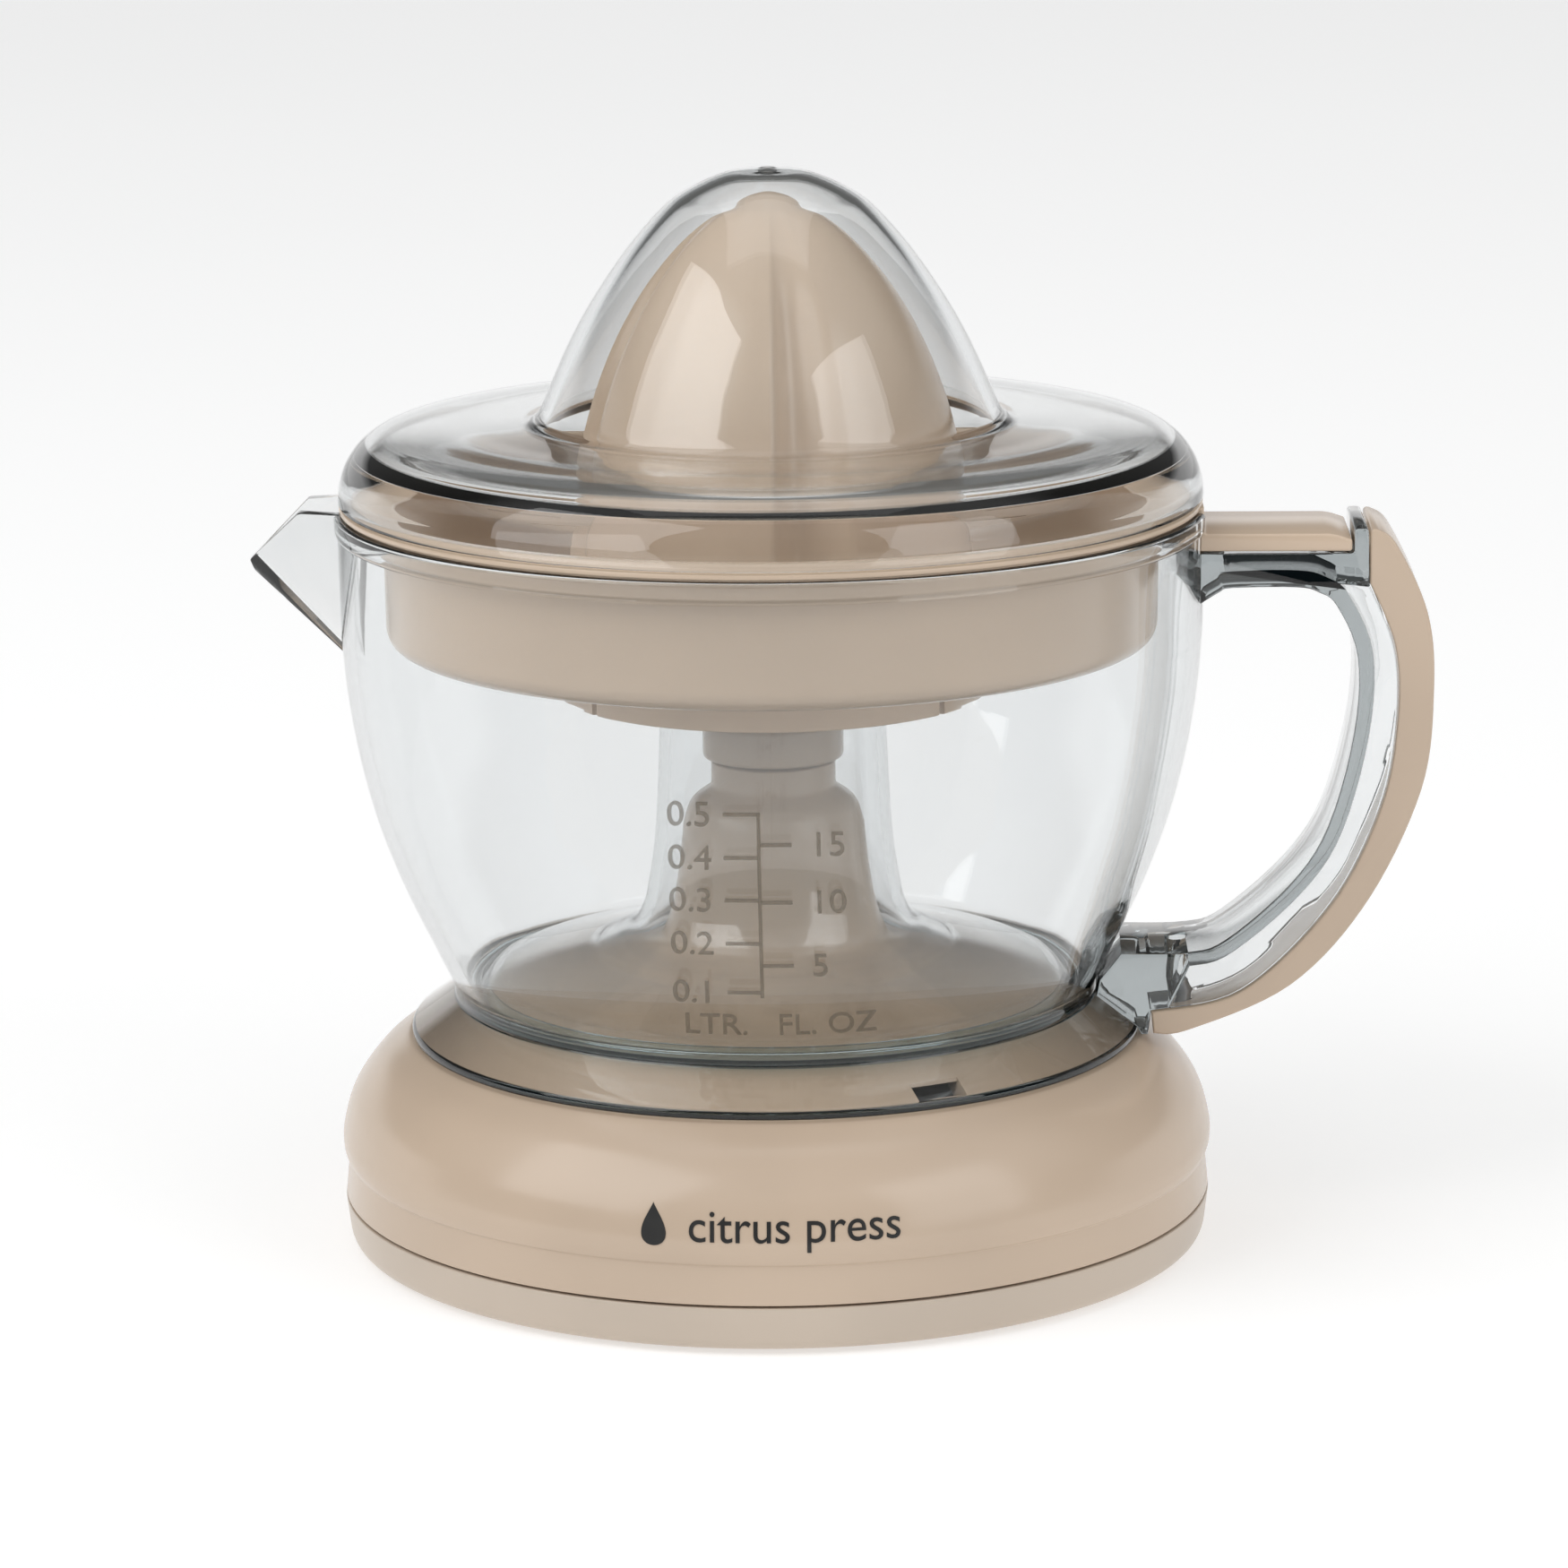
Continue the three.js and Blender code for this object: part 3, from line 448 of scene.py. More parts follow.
def carve(bm, operation, *tools):
    """bm joined with, or cut by, closed tools."""
    target = thing("carved", bm)
    for tool in tools:
        cutter = thing("tool", tool)
        change = target.modifiers.new("cut", "BOOLEAN")
        change.operation = operation
        change.solver = "MANIFOLD"
        change.object = cutter
        depsgraph = bpy.context.evaluated_depsgraph_get()
        mesh = bpy.data.meshes.new_from_object(target.evaluated_get(depsgraph))
        target.modifiers.clear()
        target.data = mesh
        bpy.data.objects.remove(cutter)
    result = bmesh.new()
    result.from_mesh(target.data)
    bpy.data.objects.remove(target)
    bmesh.ops.remove_doubles(result, verts=result.verts, dist=1e-7)
    return result


def piece(name, bm, material, body, slot, *nodes, crease=40):
    """A finished piece, with its material, body and the CAD nodes it stands for. The slot argument is not
    used.
    """
    made = thing(name, bm, crease)
    made.data.materials.append(material)
    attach(made, body)
    if nodes:
        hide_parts(*nodes)
    return made


# ---------------------------------------------------------------- base
DRAIN_TURNS = (-61, 119)


def drain(degrees):
    """Cutter for one of the slots that let spilt juice off the housing."""
    return carve(turned_by(block((60, -4.7, 34), (63.8, 4.7, 50)), degrees), "UNION",
                 turned_by(block((53, -4.7, 34), (62, 4.7, 41.2)), degrees))


def gland_hole():
    hole = turned_by(cylinder(5.3, -12, 12), 90, "X")
    return moved_by(hole, 0, BASE_RADIUS - 4, SEAM - 0.1)


BULGE_LINE = [(80.15, 18.2), (80.1, 21.5), (78.1, 28), (73.4, 34.4), (68.6, 38.1)]


def upper_housing():
    band_top = 16.7
    bulge = smooth_line(BULGE_LINE, 22)
    flare = smooth_line([(27.5, CONE_TOP), (24.4, 54.3), (21.6, 55.6), (20.2, 58), (18.6, 62.8), (17.4, 70),
                         (16.6, 77.7)], 30)
    shell = turned([
        (79.9, SEAM + 0.25, 0.25), (79.2, band_top - 0.3, 0.3), (79.7, band_top, 0.3), *bulge,
        (67.6, LEDGE, 0.4), (65.6, LEDGE, 0.5), (56.2, DECK, 1.2), (CONE_RADIUS, CONE_FOOT, 1.2), *flare,
        (15.4, 81.9, 1.6), (11.4, 84.6, 0.8),
        (11.4, 89.1, 0.3), (9.4, 89.3, 0.2), (9.4, TOWER_HIGH.z, 0.4), (6.6, TOWER_HIGH.z, 0.2), (6.6, 86.5),
        (3.9, 86.5), (3.9, 83.6), (13.8, 77.5), (15.8, 62.8), (18.4, 55), (22, 51.4), (27.5, 51.2),
        (50.7, 44.8),
        (55.4, 41.4), (71, 32.4),
        (77.4, 21), (77.3, SEAM + 0.25),
    ])
    return carve(shell, "DIFFERENCE", *[drain(degrees) for degrees in DRAIN_TURNS], gland_hole())


def lower_shell():
    shell = turned([
        (0, 1), (75.5, 1), (78.2, 1, 0.9), (79.2, 2.4, 1.4), (80, SEAM - 0.2, 0.3), (77.5, SEAM - 0.2, 0.2),
        (76.7, 3.2), (0, 3.2),
    ])
    centres = [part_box(f"foot_{i}") for i in (1, 2, 3, 4)]
    recesses = [cylinder(6.8, 0, 2.2, centre=tuple(((low + high) / 2 / MM).xy)) for low, high in
                ((Vector(a), Vector(b)) for a, b in centres)]
    screws = [extent(f"base_screw_{i}") for i in (1, 2, 3)]
    bosses = [cylinder(6, 2, 8, centre=tuple(((low + high) / 2).xy)) for low, high in screws]
    bores = [cylinder(3.6, 0, 5, centre=tuple(((low + high) / 2).xy)) for low, high in screws]
    vents = [block((-44 + 5.5 * i, -24, 0), (-41.5 + 5.5 * i, 8, 4)) for i in range(5)]
    whole = carve(shell, "UNION", *bosses)
    return carve(whole, "DIFFERENCE", *recesses, *bores, *vents, gland_hole())


def base():
    piece("upper_housing_shell", upper_housing(), SAND, "base", "sand_gloss", "upper_housing", "drive_tower")
    piece("lower_shell_pan", lower_shell(), SAND_GREY, "base", "sand_satin", "lower_shell")
    for i in (1, 2, 3, 4):
        low, high = extent(f"foot_{i}")
        centre = (low + high) / 2
        pad = turned([(0, 0), (3.6, 0), (4.4, 0.5, 0.2), (5.2, 0, 0.3), (6.1, 0, 0.5), (6.5, 0.9, 0.3),
                      (6.5, high.z, 0.2), (0, high.z)], SMALL)
        piece(f"rubber_foot_{i}", moved_by(pad, centre.x, centre.y, 0), RUBBER, "base", "rubber_feet",
              f"foot_{i}")
    gland = turned([(1.95, 0), (5.6, 0, 0.3), (5.6, 1.4, 0.3), (5, 1.4), (5, 6.2, 0.6), (4.1, 7.2, 0.5),
                    (2.6, 7.2, 0.4), (1.95, 6.4, 0.3)], SMALL)
    low, _ = extent("cord_gland")
    gland = moved_by(turned_by(gland, -90, "X"), 0, low.y, SEAM - 0.1)
    piece("cord_gland_ring", gland, BLACK, "base", "black_plastic", "cord_gland")


SCREW_HEAD = 1.8        # height of a screw's head
GRIP_SEAT = 42          # height of the seat of the handle's screw
GRIP_BORE = 1.85        # radius of that screw's hole


def screw(length):
    """Cross-slotted pan-head screw along +Z, its head's underside at zero."""
    body = turned([
        (0, -SCREW_HEAD), (1.7, -SCREW_HEAD), (2.7, -1.35, 0.4), (3.1, -0.5, 0.3), (3.1, 0, 0.1), (1.5, 0),
        (1.5, length - 1.5), (0, length),
    ], SMALL)
    slots = [block((-1.7, -0.32, -2.5), (1.7, 0.32, -1)), block((-0.32, -1.7, -2.5), (0.32, 1.7, -1))]
    return carve(body, "DIFFERENCE", *slots)


def screws():
    for i in (1, 2, 3):
        low, high = extent(f"base_screw_{i}")
        centre = (low + high) / 2
        made = moved_by(turned_by(screw(15), 25 * i), centre.x, centre.y, low.z + SCREW_HEAD)
        piece(f"housing_screw_{i}", made, ZINC, "base", "steel", f"base_screw_{i}")
    low, high = extent("grip_screw")
    centre = (low + high) / 2
    made = moved_by(turned_by(screw(8), 30), centre.x, 0, low.z + SCREW_HEAD)
    piece("handle_screw", made, ZINC, "jug", "steel", "grip_screw")


def drive():
    hexagon = 6
    rod = turned([
        (0, SHAFT_LOW.z), (2.5, SHAFT_LOW.z), (3, SHAFT_LOW.z + 0.6), (3, 29.1), (11, 29.1, 0.2),
        (11, 30.3, 0.2), (3, 30.3), (3, 100), (0, 100),
    ], SMALL)
    collar = cylinder(5, 30.1, 43, hexagon)
    top = cylinder(3.3, 99, SHAFT_HIGH.z - 0.6, hexagon)
    tip = moved_by(cylinder(2.7, 0, 1, hexagon), 0, 0, SHAFT_HIGH.z - 1)
    piece("steel_drive_shaft", joined(rod, collar, top, tip), ZINC, "drive_shaft", "steel", "drive_shaft")
    bush = turned([(3.3, BUSH_LOW.z), (6.3, BUSH_LOW.z, 0.2), (6.3, BUSH_HIGH.z, 0.3),
                   (3.3, BUSH_HIGH.z, 0.4)], SMALL)
    piece("bronze_tower_bush", bush, BRONZE, "base", "bronze", "tower_bush")
    sleeve = turned([
        (10, SLEEVE_LOW.z, 0.2), (12.5, SLEEVE_LOW.z, 0.3), (12.9, SLEEVE_LOW.z + 0.6, 0.3),
        (12.9, 96.2, 0.4), (12.6, 96.6, 0.3), (12.6, 104.6, 0.4), (9.5, 104.9, 0.3), (9.5, 121.6),
        (10.5, 121.6, 0.3), (10.5, 122.8, 0.3), (8, 122.8), (3.9, 122.8), (3.9, 97.2), (10, 97.2, 0.6),
    ], MEDIUM)
    drive_hex = cylinder(8.2, 121, SLEEVE_HIGH.z, hexagon)
    bmesh.ops.bevel(drive_hex, geom=drive_hex.edges[:], offset=0.5 * MM, offset_type="OFFSET", segments=2,
                    profile=0.5, affect="EDGES", material=-1)
    whole = carve(sleeve, "UNION", drive_hex)
    whole = carve(whole, "DIFFERENCE", cylinder(3.9, 90, 160, hexagon))
    piece("drive_sleeve_collar", whole, SAND, "sleeve", "sand_gloss", "drive_sleeve")


# ---------------------------------------------------------------- reamers
RIDGE_TURN = -87
VALLEY = 23
FLUTES = 4


def reamer_radius(share, radius):
    return radius * (1 - share ** 2.15) ** 0.62


def hollow_share(degrees):
    """Depth of the hollow at an angle past the ridge: steep beside the ridge, then easing out."""
    along = (degrees % (360 / FLUTES)) / VALLEY
    return math.sin(math.pi * along ** 0.7) ** 1.3 if along < 1 else 0.0


def reamer_shell(foot, tip, radius, wall, depth, columns=240, rows=44):
    """A hollow cone whose surface dips beside each of its ridges."""
    rise = [math.sin(math.pi / 2 * i / rows) for i in range(rows)]
    outer = [(reamer_radius(s, radius), foot + (tip - foot) * s) for s in rise] + [(0, tip)]
    inner = [(r - wall, z) for r, z in outer if r > wall + 0.5 and z < tip - 2.2 * wall]
    inner.append((0, tip - 2 * wall))
    bm = open_wire([*outer[::-1], *inner])
    turn(bm, columns)
    height = (tip - foot) * MM
    for vert in bm.verts:
        r = math.hypot(vert.co.x, vert.co.y)
        if r < 1e-6:
            continue
        angle = math.degrees(math.atan2(vert.co.y, vert.co.x)) - RIDGE_TURN
        up = (vert.co.z - foot * MM) / height
        fade = min(1.0, (1 - up) / 0.3)
        ridge = 1 - depth * hollow_share(angle) * fade
        vert.co.x *= ridge
        vert.co.y *= ridge
    return bm


def reamers():
    foot, tip = REAMER_LOW.z, REAMER_HIGH.z
    large = reamer_shell(foot, tip, 36.4, 2.4, 0.14)
    piece("large_reamer_cone", large, SAND, "large_reamer", "sand_gloss", "large_reamer")
    small = reamer_shell(SMALL_LOW.z, SMALL_HIGH.z, 19, 2.2, 0.14, 160, 30)
    socket = carve(cylinder(11.4, SMALL_LOW.z + 0.4, 156, MEDIUM), "DIFFERENCE", cylinder(8.8, 120, 151.8, 6))
    piece("small_reamer_cone", joined(small, socket), SAND, "small_reamer", "sand_gloss", "small_reamer")


# ---------------------------------------------------------------- strainer and pulp ring
SLOTS_INNER = {"count": 16, "near": 17.5, "far": 35, "width": 2.8}
SLOTS_OUTER = {"count": 20, "near": 43, "far": 62, "width": 2.0}
ARM_WIDTH, ARM_TOP, ARM_BOTTOM = 24, 132.5, 129.3


def slot_tools(slots, low, high):
    """Round-ended slot cutters, set like spokes."""
    half = slots["width"] / 2
    tools = []
    for i in range(slots["count"]):
        bm = block((slots["near"] + half, -half, low), (slots["far"] - half, half, high))
        upright = [e for e in bm.edges if abs(e.verts[0].co.z - e.verts[1].co.z) > MM]
        bmesh.ops.bevel(bm, geom=upright, offset=half * 0.95 * MM, offset_type="OFFSET", segments=4,
                        profile=0.5, affect="EDGES", material=-1)
        tools.append(turned_by(bm, 360 * i / slots["count"]))
    return joined(*tools)


def strainer():
    dish = turned([
        (10, 105.4), (13.1, 105.4, 0.3), (13.1, 107.6), (14.4, 108, 0.3), (14.4, 109.2, 0.3), (13.1, 109.4),
        (13.1, 112), (68.2, 112, 2.2), (70.3, 114.6, 1.5), (70.8, 131.8, 0.8), (75.5, 132.8, 0.6),
        (75.5, 136.7), (78.2, 136.7, 0.3), (78.2, 137.7, 0.3), (75.9, 137.7), (75.6, 139.2, 0.5),
        (70.2, 139.2, 0.6), (69.0, 136.4, 1.2), (68.3, 116, 2.4),
        (66.4, 114, 1.8), (14, 114, 0.6), (13.1, 115), (12.6, 121.2, 0.4), (10, 121.2, 0.3),
    ])
    floor = carve(dish, "DIFFERENCE", slot_tools(SLOTS_INNER, 111, 115), slot_tools(SLOTS_OUTER, 111, 115))
    end = STRAINER_HIGH.x
    arm = slab([
        (69.4, ARM_BOTTOM), (end, ARM_BOTTOM, 0.5), (end, ARM_TOP - 1.1, 0.4), (end - 3.4, ARM_TOP, 1.2),
        (78, ARM_TOP, 1.0), (78, 137.2), (69.4, 137.2),
    ], ARM_WIDTH, 0.5)
    piece("strainer_dish", carve(floor, "UNION", arm), SAND_DISH, "strainer", "sand_gloss", "strainer")

    top, bottom = RING_HIGH.z, RING_LOW.z
    cup = turned([
        (13.6, top - 1.8), (37.5, top - 1.8, 0.5), (37.5, bottom, 0.3), (39.3, bottom, 0.4), (39.3, top, 0.3),
        (13.6, top),
    ], FINE)
    notches = [turned_by(block((35, -0.75, bottom - 1), (41, 0.75, bottom + 2.6)), a)
               for a in (-142, -38, 38, 142)]
    ring = carve(cup, "DIFFERENCE", slot_tools(SLOTS_INNER, bottom - 1, top + 1), *notches)
    piece("pulp_adjuster_ring", ring, SAND_DISH, "pulp_ring", "sand_gloss", "pulp_ring")


# ---------------------------------------------------------------- jug and handle
GRIP_LINE = [(107.8, 122.9), (112.3, 111.5), (112.8, 97.8), (110, 82.1), (101.2, 64.1), (85.3, 48.1),
             (69, 44.2)]
FINGER_LINE = [(77, 119.4), (80.8, 121.8), (83.2, 122.6), (94.8, 122.7), (98.8, 121.7), (102, 119.2),
               (105.8, 109.9), (105.3, 95.8), (100.8, 78.6), (94.1, 67.9), (82.6, 57.6),
               (75.6, 55.2), (63.5, 55)]
OUTER_LINE = [(109.2, 133.2), (112.6, 130.4), (118.3, 117.9), (119.6, 103.8), (117.6, 85.5), (108, 64.5),
              (94.3, 49), (76, 40.6), (69.4, 39.9)]
HANDLE_TOP, HANDLE_PLATE, PLATE_TOP = 129, 105, 133.4


def handle_frame():
    finger = smooth_line(FINGER_LINE, 60)
    grip = smooth_line(GRIP_LINE, 48)
    frame_outline = [
        (77, HANDLE_TOP), (HANDLE_PLATE, HANDLE_TOP, 0.6), (HANDLE_PLATE, PLATE_TOP, 0.6),
        (HANDLE_PLATE + 2.5, PLATE_TOP, 0.6),
        *grip, (68.4, 39.7), (67.2, 39.7), (66.4, 41.2), (59, 47), (59.6, 50), *finger[::-1],
    ]
    pocket = [*beside(finger[9:-5], -2.8), *beside(grip, -3)[::-1][1:-2]]
    return carve(slab(frame_outline, ARM_WIDTH, 0.6), "DIFFERENCE", slab(pocket, ARM_WIDTH - 3.6, 0.4))


def spout_hull(grow, back, lift):
    """The V of the spout: rim corners, tip and keel, pulled in by `grow` for the channel inside it."""
    bm = bmesh.new()
    corners = [(back, 13.6, JUG_RIM), (-85, 9.4, JUG_RIM), (-95, 1.4, 126.5), (-94.4, 0.4, 124.6),
               (back, 0.4, 101)]
    for x, y, z in corners:
        inward = x if x == back else x + 0.7 * grow
        height = z + lift if z == JUG_RIM else z + 1.6 * grow
        side = max(y - grow, 0.3)
        for sign in (1, -1):
            bm.verts.new((inward * MM, sign * side * MM, height * MM))
    bmesh.ops.convex_hull(bm, input=bm.verts)
    bmesh.ops.bevel(bm, geom=bm.edges[:], offset=0.5 * MM, offset_type="OFFSET", segments=3, profile=0.5,
                    affect="EDGES", material=-1, clamp_overlap=True)
    return bm


def floor_at(radius):
    """Upper face of the jug's floor, which follows the deck's rise."""
    return 50.3 + (CONE_RADIUS - radius) * (CONE_TOP - CONE_FOOT) / (CONE_RADIUS - 27.8)


BOWL_LINE = [(58.6, 47.6), (63.1, 57), (68.2, 68), (72.6, 80), (75.6, 92), (77.5, 104), (78.3, 114)]
BOWL_TOP = (78.6, 132.4)


def jug():
    bowl = [*smooth_line(BOWL_LINE, 40), BOWL_TOP]
    inside = beside(bowl, -JUG_WALL)[::-1]
    tube = smooth_line([(33, floor_at(33)), (29.2, 57.2), (26, 59), (24.2, 62), (23.2, 66), (21.6, 78),
                        (20.4, 104)], 36)
    bore = beside(tube, -2)[::-1]
    body = turned([
        (56, 44.7, 0.8), (65.6, 39.1, 0.3), (67.1, 39.1, 0.4), (67.1, 40.6, 0.6), (58.9, 46.4, 0.5),
        *bowl[1:],
        (79.1, 132.9, 0.4), (79.2, JUG_RIM, 0.8), (76.7, JUG_RIM, 0.8), *inside[:-1],
        (55.5, 47.8, 1.2), (52.2, floor_at(CONE_RADIUS), 1.5), *tube[:-1], (20.4, 104, 0.7), (18.4, 104, 0.7),
        *bore[1:-1], (33, floor_at(33) - JUG_WALL, 1.5), (51.1, 48.1, 1.2),
    ])
    hollow = cylinder(76.4, 0, 200, FINE)
    spout = carve(spout_hull(0, -70, 0), "DIFFERENCE", hollow)
    whole = carve(body, "UNION", handle_frame(), spout)
    half = ARM_WIDTH / 2 + 0.5
    notch = block((70, -half, HANDLE_TOP + 0.01), (82, half, 160))
    low, high = extent("grip_screw")
    hole = cylinder(GRIP_BORE, 30, 60, centre=((low.x + high.x) / 2, 0))
    return carve(whole, "DIFFERENCE", spout_hull(1.9, -72, 3), notch, hole)


def foot_ring():
    """The jug's thick lower corner, where the wall, the floor and the skirt meet, as a ring set inside the
    clear wall in a dark teal, strongly absorbing clear: painted shade for the dark band that corner shows.
    """
    return turned([(52.4, 47.9), (56.6, 45.1), (58.2, 46.5, 0.4), (57.4, 47.5), (55.4, 47.5),
                   (53, 49.2, 0.2)])


def handle_grip():
    inner = beside(smooth_line(GRIP_LINE, 48), -0.3)[::-1]
    outline = [(107.9, PLATE_TOP, 0.8), *smooth_line(OUTER_LINE, 60), *inner, (107.9, 123.2)]
    grip = slab(outline, ARM_WIDTH, 1.6, 5)
    low, high = extent("grip_screw")
    centre = ((low.x + high.x) / 2, 0)
    hole = cylinder(GRIP_BORE, 30, 60, centre=centre)
    counterbore = cylinder(3.5, 30, GRIP_SEAT + 0.2, centre=centre)
    return carve(grip, "DIFFERENCE", hole, counterbore)


def radius_on(line, z):
    """Radius of a wall, given as a rising (radius, z) line, at a height."""
    for (r0, z0), (r1, z1) in zip(line, line[1:]):
        if z0 <= z <= z1:
            return r0 + (r1 - r0) * (z - z0) / (z1 - z0)
    return line[0][0] if z < line[0][1] else line[-1][0]


CUT_STEP = 0.7 * MM     # distance between the level cuts in a letter


def lettering(text, size, depth):
    """Flat letters in the XZ plane, facing -Y, starting at the origin, as a bmesh in metres."""
    curve = bpy.data.curves.new("letters", "FONT")
    curve.body = text
    curve.size = size * MM
    curve.extrude = depth / 2 * MM
    curve.resolution_u = 6
    letters = bpy.data.objects.new("letters", curve)
    bpy.context.scene.collection.objects.link(letters)
    mesh = bpy.data.meshes.new_from_object(letters.evaluated_get(bpy.context.evaluated_depsgraph_get()))
    bpy.data.objects.remove(letters)
    bm = bmesh.new()
    bm.from_mesh(mesh)
    bpy.data.meshes.remove(mesh)
    turned_by(bm, 90, "X")
    # Level cuts let the letters follow a wall that bulges.
    low, high = min(v.co.z for v in bm.verts), max(v.co.z for v in bm.verts)
    level = low + CUT_STEP
    while level < high:
        bmesh.ops.bisect_plane(bm, geom=bm.verts[:] + bm.edges[:] + bm.faces[:], dist=1e-7,
                               plane_co=(0, 0, level), plane_no=(0, 0, 1))
        level += CUT_STEP
    bmesh.ops.remove_doubles(bm, verts=bm.verts, dist=1e-7)
    bmesh.ops.triangulate(bm, faces=[f for f in bm.faces if len(f.verts) > 4])
    return bm


def wrapped(bm, degrees, line):
    """Bends a flat layout onto a round wall: x runs round it from `degrees`, -y stands off it."""
    for vert in bm.verts:
        radius = radius_on(line, vert.co.z / MM) * MM
        angle = math.radians(degrees) + vert.co.x / radius
        reach = radius - vert.co.y
        vert.co.x = reach * math.cos(angle)
        vert.co.y = reach * math.sin(angle)
    return bm


SCALE_FRONT = -90
LITRE_MARKS = {"0.5": 96, "0.4": 88, "0.3": 80, "0.2": 71.6, "0.1": 61.8}
OUNCE_MARKS = {"15": 90.4, "10": 79.6, "5": 67.2}


def bar(x0, x1, z0, z1, depth):
    bm = block((x0, -depth / 2, z0), (x1, depth / 2, z1))
    cuts = max(1, int((z1 - z0) / 2))
    long_edges = [e for e in bm.edges if abs(e.verts[0].co.z - e.verts[1].co.z) > 1e-6]
    bmesh.ops.subdivide_edges(bm, edges=long_edges, cuts=cuts, use_grid_fill=True)
    return bm


def scale_marks():
    depth = 0.7
    parts = [bar(-0.3, 0.3, LITRE_MARKS["0.1"] - 1, LITRE_MARKS["0.5"] + 0.3, depth)]
    for label, z in LITRE_MARKS.items():
        parts.append(bar(-6, -0.2, z - 0.3, z + 0.3, depth))
        parts.append(moved_by(lettering(label, 6.4, depth), -15.8, 0, z - 2.2))
    for label, z in OUNCE_MARKS.items():
        parts.append(bar(0.2, 5.6, z - 0.3, z + 0.3, depth))
        parts.append(moved_by(lettering(label, 6.4, depth), 8.6, 0, z - 2.2))
    parts.append(moved_by(lettering("LTR.", 6, depth), -14, 0, 53.2))
    parts.append(moved_by(lettering("FL. OZ", 6, depth), 2.4, 0, 53.2))
    marks = wrapped(moved_by(joined(*parts), 0, -0.3, 0), SCALE_FRONT,
                    smooth_line([*BOWL_LINE, BOWL_TOP], 60))
    piece("jug_scale_marks", marks, SHADED_MARKS, "jug", "clear_plastic")


def jug_and_handle():
    piece("clear_jug", jug(), CLEAR, "jug", "clear_plastic", "jug", "jug_tube", "jug_handle", "jug_spout",
          crease=30)
    piece("handle_grip_shell", handle_grip(), SAND, "jug", "sand_gloss", "handle_grip")
    # The ring in the jug's lower corner is painted shade: a darker copy of the clear plastic set inside the
    # wall.
    piece("jug_foot_painted_shade", foot_ring(), FOOT_SHADE_CLEAR, "jug", "clear_plastic")
    scale_marks()


# ---------------------------------------------------------------- cover
def dust_cover():
    top, rim = COVER_HIGH.z, COVER_LOW.z
    dome = smooth_line([
        (0, top), (7, top - 0.7), (14.6, 193.5), (19.1, 190.2), (24.8, 183.8), (29.5, 177.3), (33.6, 170.8),
        (37, 164.3), (39.9, 157.8), (41.3, 154.5),
    ], 48)
    brim = smooth_line([(44.6, 152), (52, 151.8), (61, 151.6), (69.6, 150.6), (73.9, 148.4), (76.7, 145),
                        (78.1, 141.3)], 34)
    outside = [*dome, (42.4, 152.4, 0.9), *brim, (COVER_RADIUS, rim, 0.7)]
    inside = beside(dome, COVER_WALL)
    inside[0] = (0, top - COVER_WALL)
    inside.append((41.2, 150.2, 1.2))
    inside += [spot for spot in beside(brim, COVER_WALL) if 43.5 < spot[0] < 72.6]
    inside += [(74.7, 146.2, 0.2), (COVER_RADIUS - COVER_WALL, rim, 0.6)]
    cover = turned([*outside, *inside[::-1]])
    gate = turned([(0, top - 0.3), (1.7, top - 0.3), (1.7, top - 0.1, 0.1), (1.2, top, 0.1),
                   (0.9, top - 0.25), (0, top - 0.25)], SMALL)
    piece("clear_dust_cover", joined(cover, gate), CLEAR, "cover", "clear_plastic", "dust_cover")


# ---------------------------------------------------------------- printed mark on the base
def printed_mark():
    """A plain drop and the words for what the appliance is."""
    depth = 0.24
    words = moved_by(lettering("citrus press", 8, depth), -13, 0, 21)
    drop = bmesh.new()
    steps = 40
    ring = []
    for i in range(steps):
        t = FULL * i / steps
        ring.append(drop.verts.new((3.1 * math.sin(t) * math.sin(t / 2) ** 1.4 * MM, 0,
                                    (3.6 * math.cos(t)) * MM)))
    face = drop.faces.new(ring)
    grown = bmesh.ops.extrude_face_region(drop, geom=[face])["geom"]
    bmesh.ops.translate(drop, verts=[g for g in grown if isinstance(g, bmesh.types.BMVert)],
                        vec=(0, depth * MM, 0))
    bmesh.ops.translate(drop, verts=drop.verts, vec=(0, -depth / 2 * MM, 0))
    bmesh.ops.recalc_face_normals(drop, faces=drop.faces)
    moved_by(drop, -19, 0, 23.6)
    mark = wrapped(joined(words, drop), SCALE_FRONT, smooth_line(BULGE_LINE, 40))
    piece("printed_mark", mark, INK, "base", "black_plastic")


# ---------------------------------------------------------------- hidden works keep their CAD shape
def hidden_works():
    finishes = {
        ZINC: ["gear_plate", "plate_screw_1", "plate_screw_2", "plate_screw_3", "motor_bridge",
               "motor_screw_1", "motor_screw_2", "motor_spacer_1", "motor_spacer_2", "idler_pin",
               "return_spring"],
        BRONZE: ["motor_pinion", "motor_bearing_upper", "motor_bearing_lower"],
        NYLON: ["output_gear", "idler_gear", "switch_plunger"],
        IRON: ["motor_core", "motor_rotor"],
        COPPER: ["motor_coil"],
        BLACK: ["switch_body"],
    }
    for material, nodes in finishes.items():
        for node in nodes:
            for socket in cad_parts[node].material_slots:
                socket.material = material


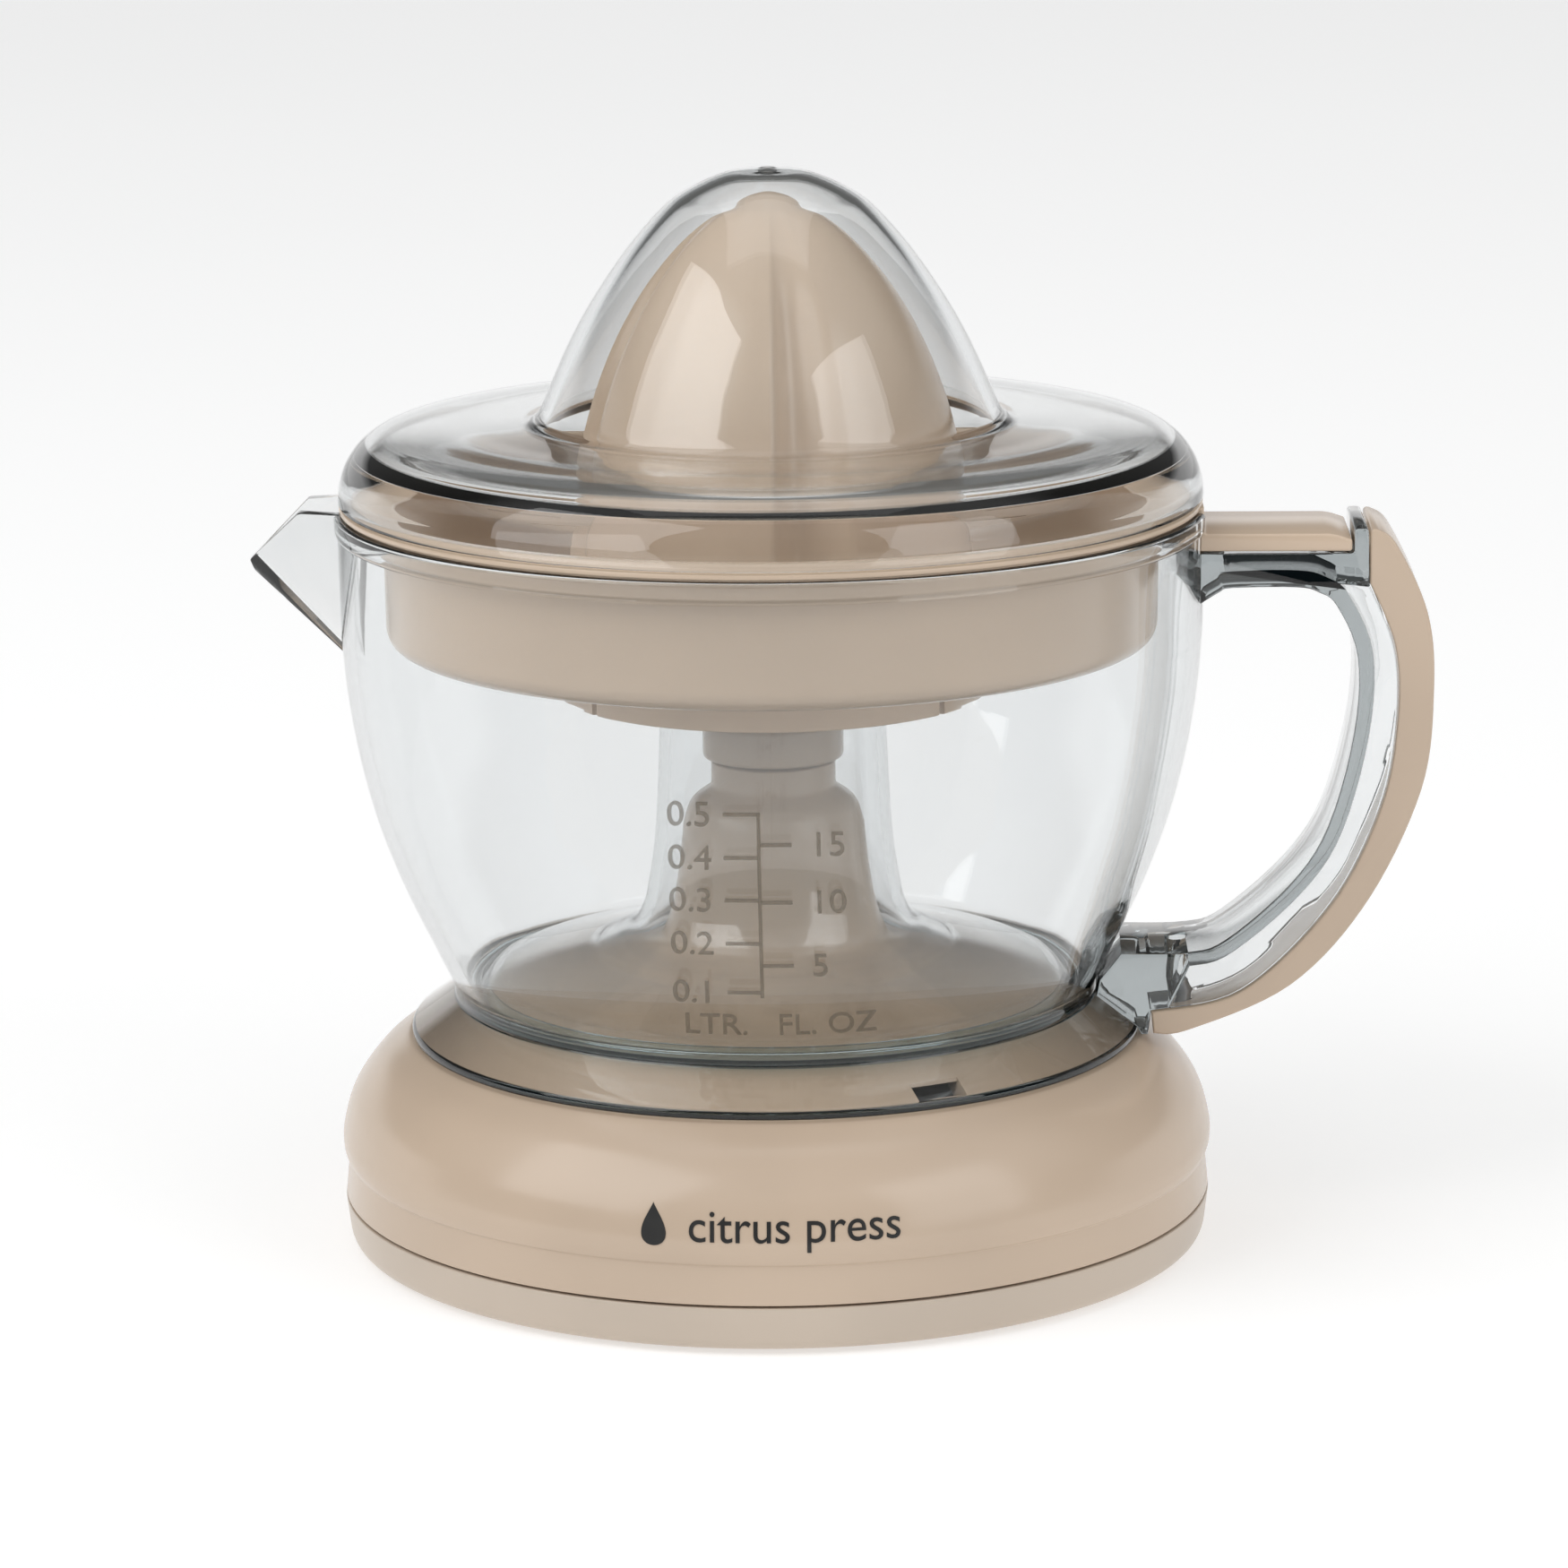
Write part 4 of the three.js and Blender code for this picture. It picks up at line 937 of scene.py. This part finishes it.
# ---------------------------------------------------------------- camera, light and floor
def camera():
    """A long lens a good metre away, looking slightly down on the front, a touch to the handle's side."""
    distance, height = 1049.7, 320.2
    down, aside, roll, round_by = (math.radians(a) for a in (12.677, 0.105, -0.536, 2.0))
    ahead = Vector((math.sin(aside) * math.cos(down), math.cos(aside) * math.cos(down), -math.sin(down)))
    right = Vector((math.cos(aside), -math.sin(aside), 0))
    up = right.cross(ahead)
    rolled_right = right * math.cos(roll) + up * math.sin(roll)
    rolled_up = up * math.cos(roll) - right * math.sin(roll)
    pose = Matrix((rolled_right, rolled_up, -ahead)).transposed().to_4x4()
    pose.translation = Vector((0, -distance, height)) * MM
    lens = bpy.data.cameras.new("camera")
    lens.sensor_width = 36
    lens.lens = 134.7
    lens.clip_start = 0.05
    lens.clip_end = 50
    eye = bpy.data.objects.new("camera", lens)
    eye.matrix_world = Matrix.Rotation(round_by, 4, "Z") @ pose
    bpy.context.scene.collection.objects.link(eye)
    bpy.context.scene.camera = eye


def softbox(name, place, target, size, power, colour=(1, 1, 1)):
    data = bpy.data.lights.new(name, "AREA")
    data.shape = "RECTANGLE"
    data.size, data.size_y = size
    data.energy = power
    data.color = colour
    lamp = bpy.data.objects.new(name, data)
    lamp.location = place
    lamp.rotation_euler = (Vector(target) - Vector(place)).to_track_quat("-Z", "Y").to_euler()
    bpy.context.scene.collection.objects.link(lamp)


def studio():
    scene = bpy.context.scene
    bm = bmesh.new()
    bmesh.ops.create_circle(bm, cap_ends=True, segments=96, radius=9)
    floor = thing("floor", bm)
    f = Finish("pale_floor")
    cloud = f.noise(1.5, 2)
    floor.data.materials.append(f.surface(f.node("ShaderNodeBsdfPrincipled", None, {
        "Base Color": f.mix(cloud, (0.61, 0.61, 0.61, 1), (0.63, 0.63, 0.63, 1)),
        "Roughness": 0.7 + cloud * 0.1,
        "Specular IOR Level": 0.2,
        "Emission Color": (1, 1, 1, 1),
        "Emission Strength": 0.5,
    })))

    world = bpy.data.worlds.new("studio")
    scene.world = world
    world.use_nodes = True
    nodes, links = world.node_tree.nodes, world.node_tree.links
    nodes.clear()
    def add(kind, settings, **inputs):
        made = nodes.new(kind)
        for key, value in settings.items():
            setattr(made, key, value)
        for key, value in inputs.items():
            socket = made.inputs[key.replace("_", " ")]
            if isinstance(value, bpy.types.NodeSocket):
                links.new(value, socket)
            else:
                socket.default_value = value
        return made

    # White low behind and overhead; the room in front, below the lamps, is dark and a little blue.
    axes = add("ShaderNodeSeparateXYZ", {}, Vector=nodes.new("ShaderNodeTexCoord").outputs["Generated"])
    smooth = {"interpolation_type": "SMOOTHSTEP"}
    behind = add("ShaderNodeMapRange", smooth, Value=axes.outputs["Y"], From_Min=0.0, From_Max=0.3)
    sides = []
    for stops in (
        [(0.0, (0.06, 0.10, 0.12, 1)), (0.3, (0.08, 0.11, 0.13, 1)), (0.65, (0.7, 0.7, 0.7, 1))],
        [(0.0, (1, 1, 1, 1)), (0.15, (0.95, 0.95, 0.95, 1)), (0.23, (0.13, 0.13, 0.13, 1)),
         (0.7, (0.16, 0.16, 0.15, 1)),
         (0.92, (0.7, 0.7, 0.7, 1))],
    ):
        ramp = add("ShaderNodeValToRGB", {}, Fac=axes.outputs["Z"])
        Finish.set_stops(ramp.color_ramp, stops)
        sides.append(ramp.outputs["Color"])
    room = add("ShaderNodeMixRGB", {}, Fac=behind.outputs["Result"], Color1=sides[0], Color2=sides[1])
    light = add("ShaderNodeBackground", {}, Color=room.outputs["Color"], Strength=1.0)
    links.new(light.outputs[0], nodes.new("ShaderNodeOutputWorld").inputs["Surface"])

    softbox("key", (-1.4, -1.0, 1.3), (0, 0, 0.1), (1.7, 1.7), 20)
    softbox("fill", (1.4, -1.1, 0.9), (0, 0, 0.1), (1.2, 1.5), 10)
    softbox("top", (0, 0.2, 2.2), (0, 0, 0.1), (1.8, 1.8), 6)

    scene.view_settings.view_transform = "Standard"
    scene.cycles.max_bounces = 24
    scene.cycles.transmission_bounces = 24
    scene.cycles.transparent_max_bounces = 24


camera()
studio()
base()
screws()
drive()
strainer()
reamers()
jug_and_handle()
dust_cover()
printed_mark()
hidden_works()
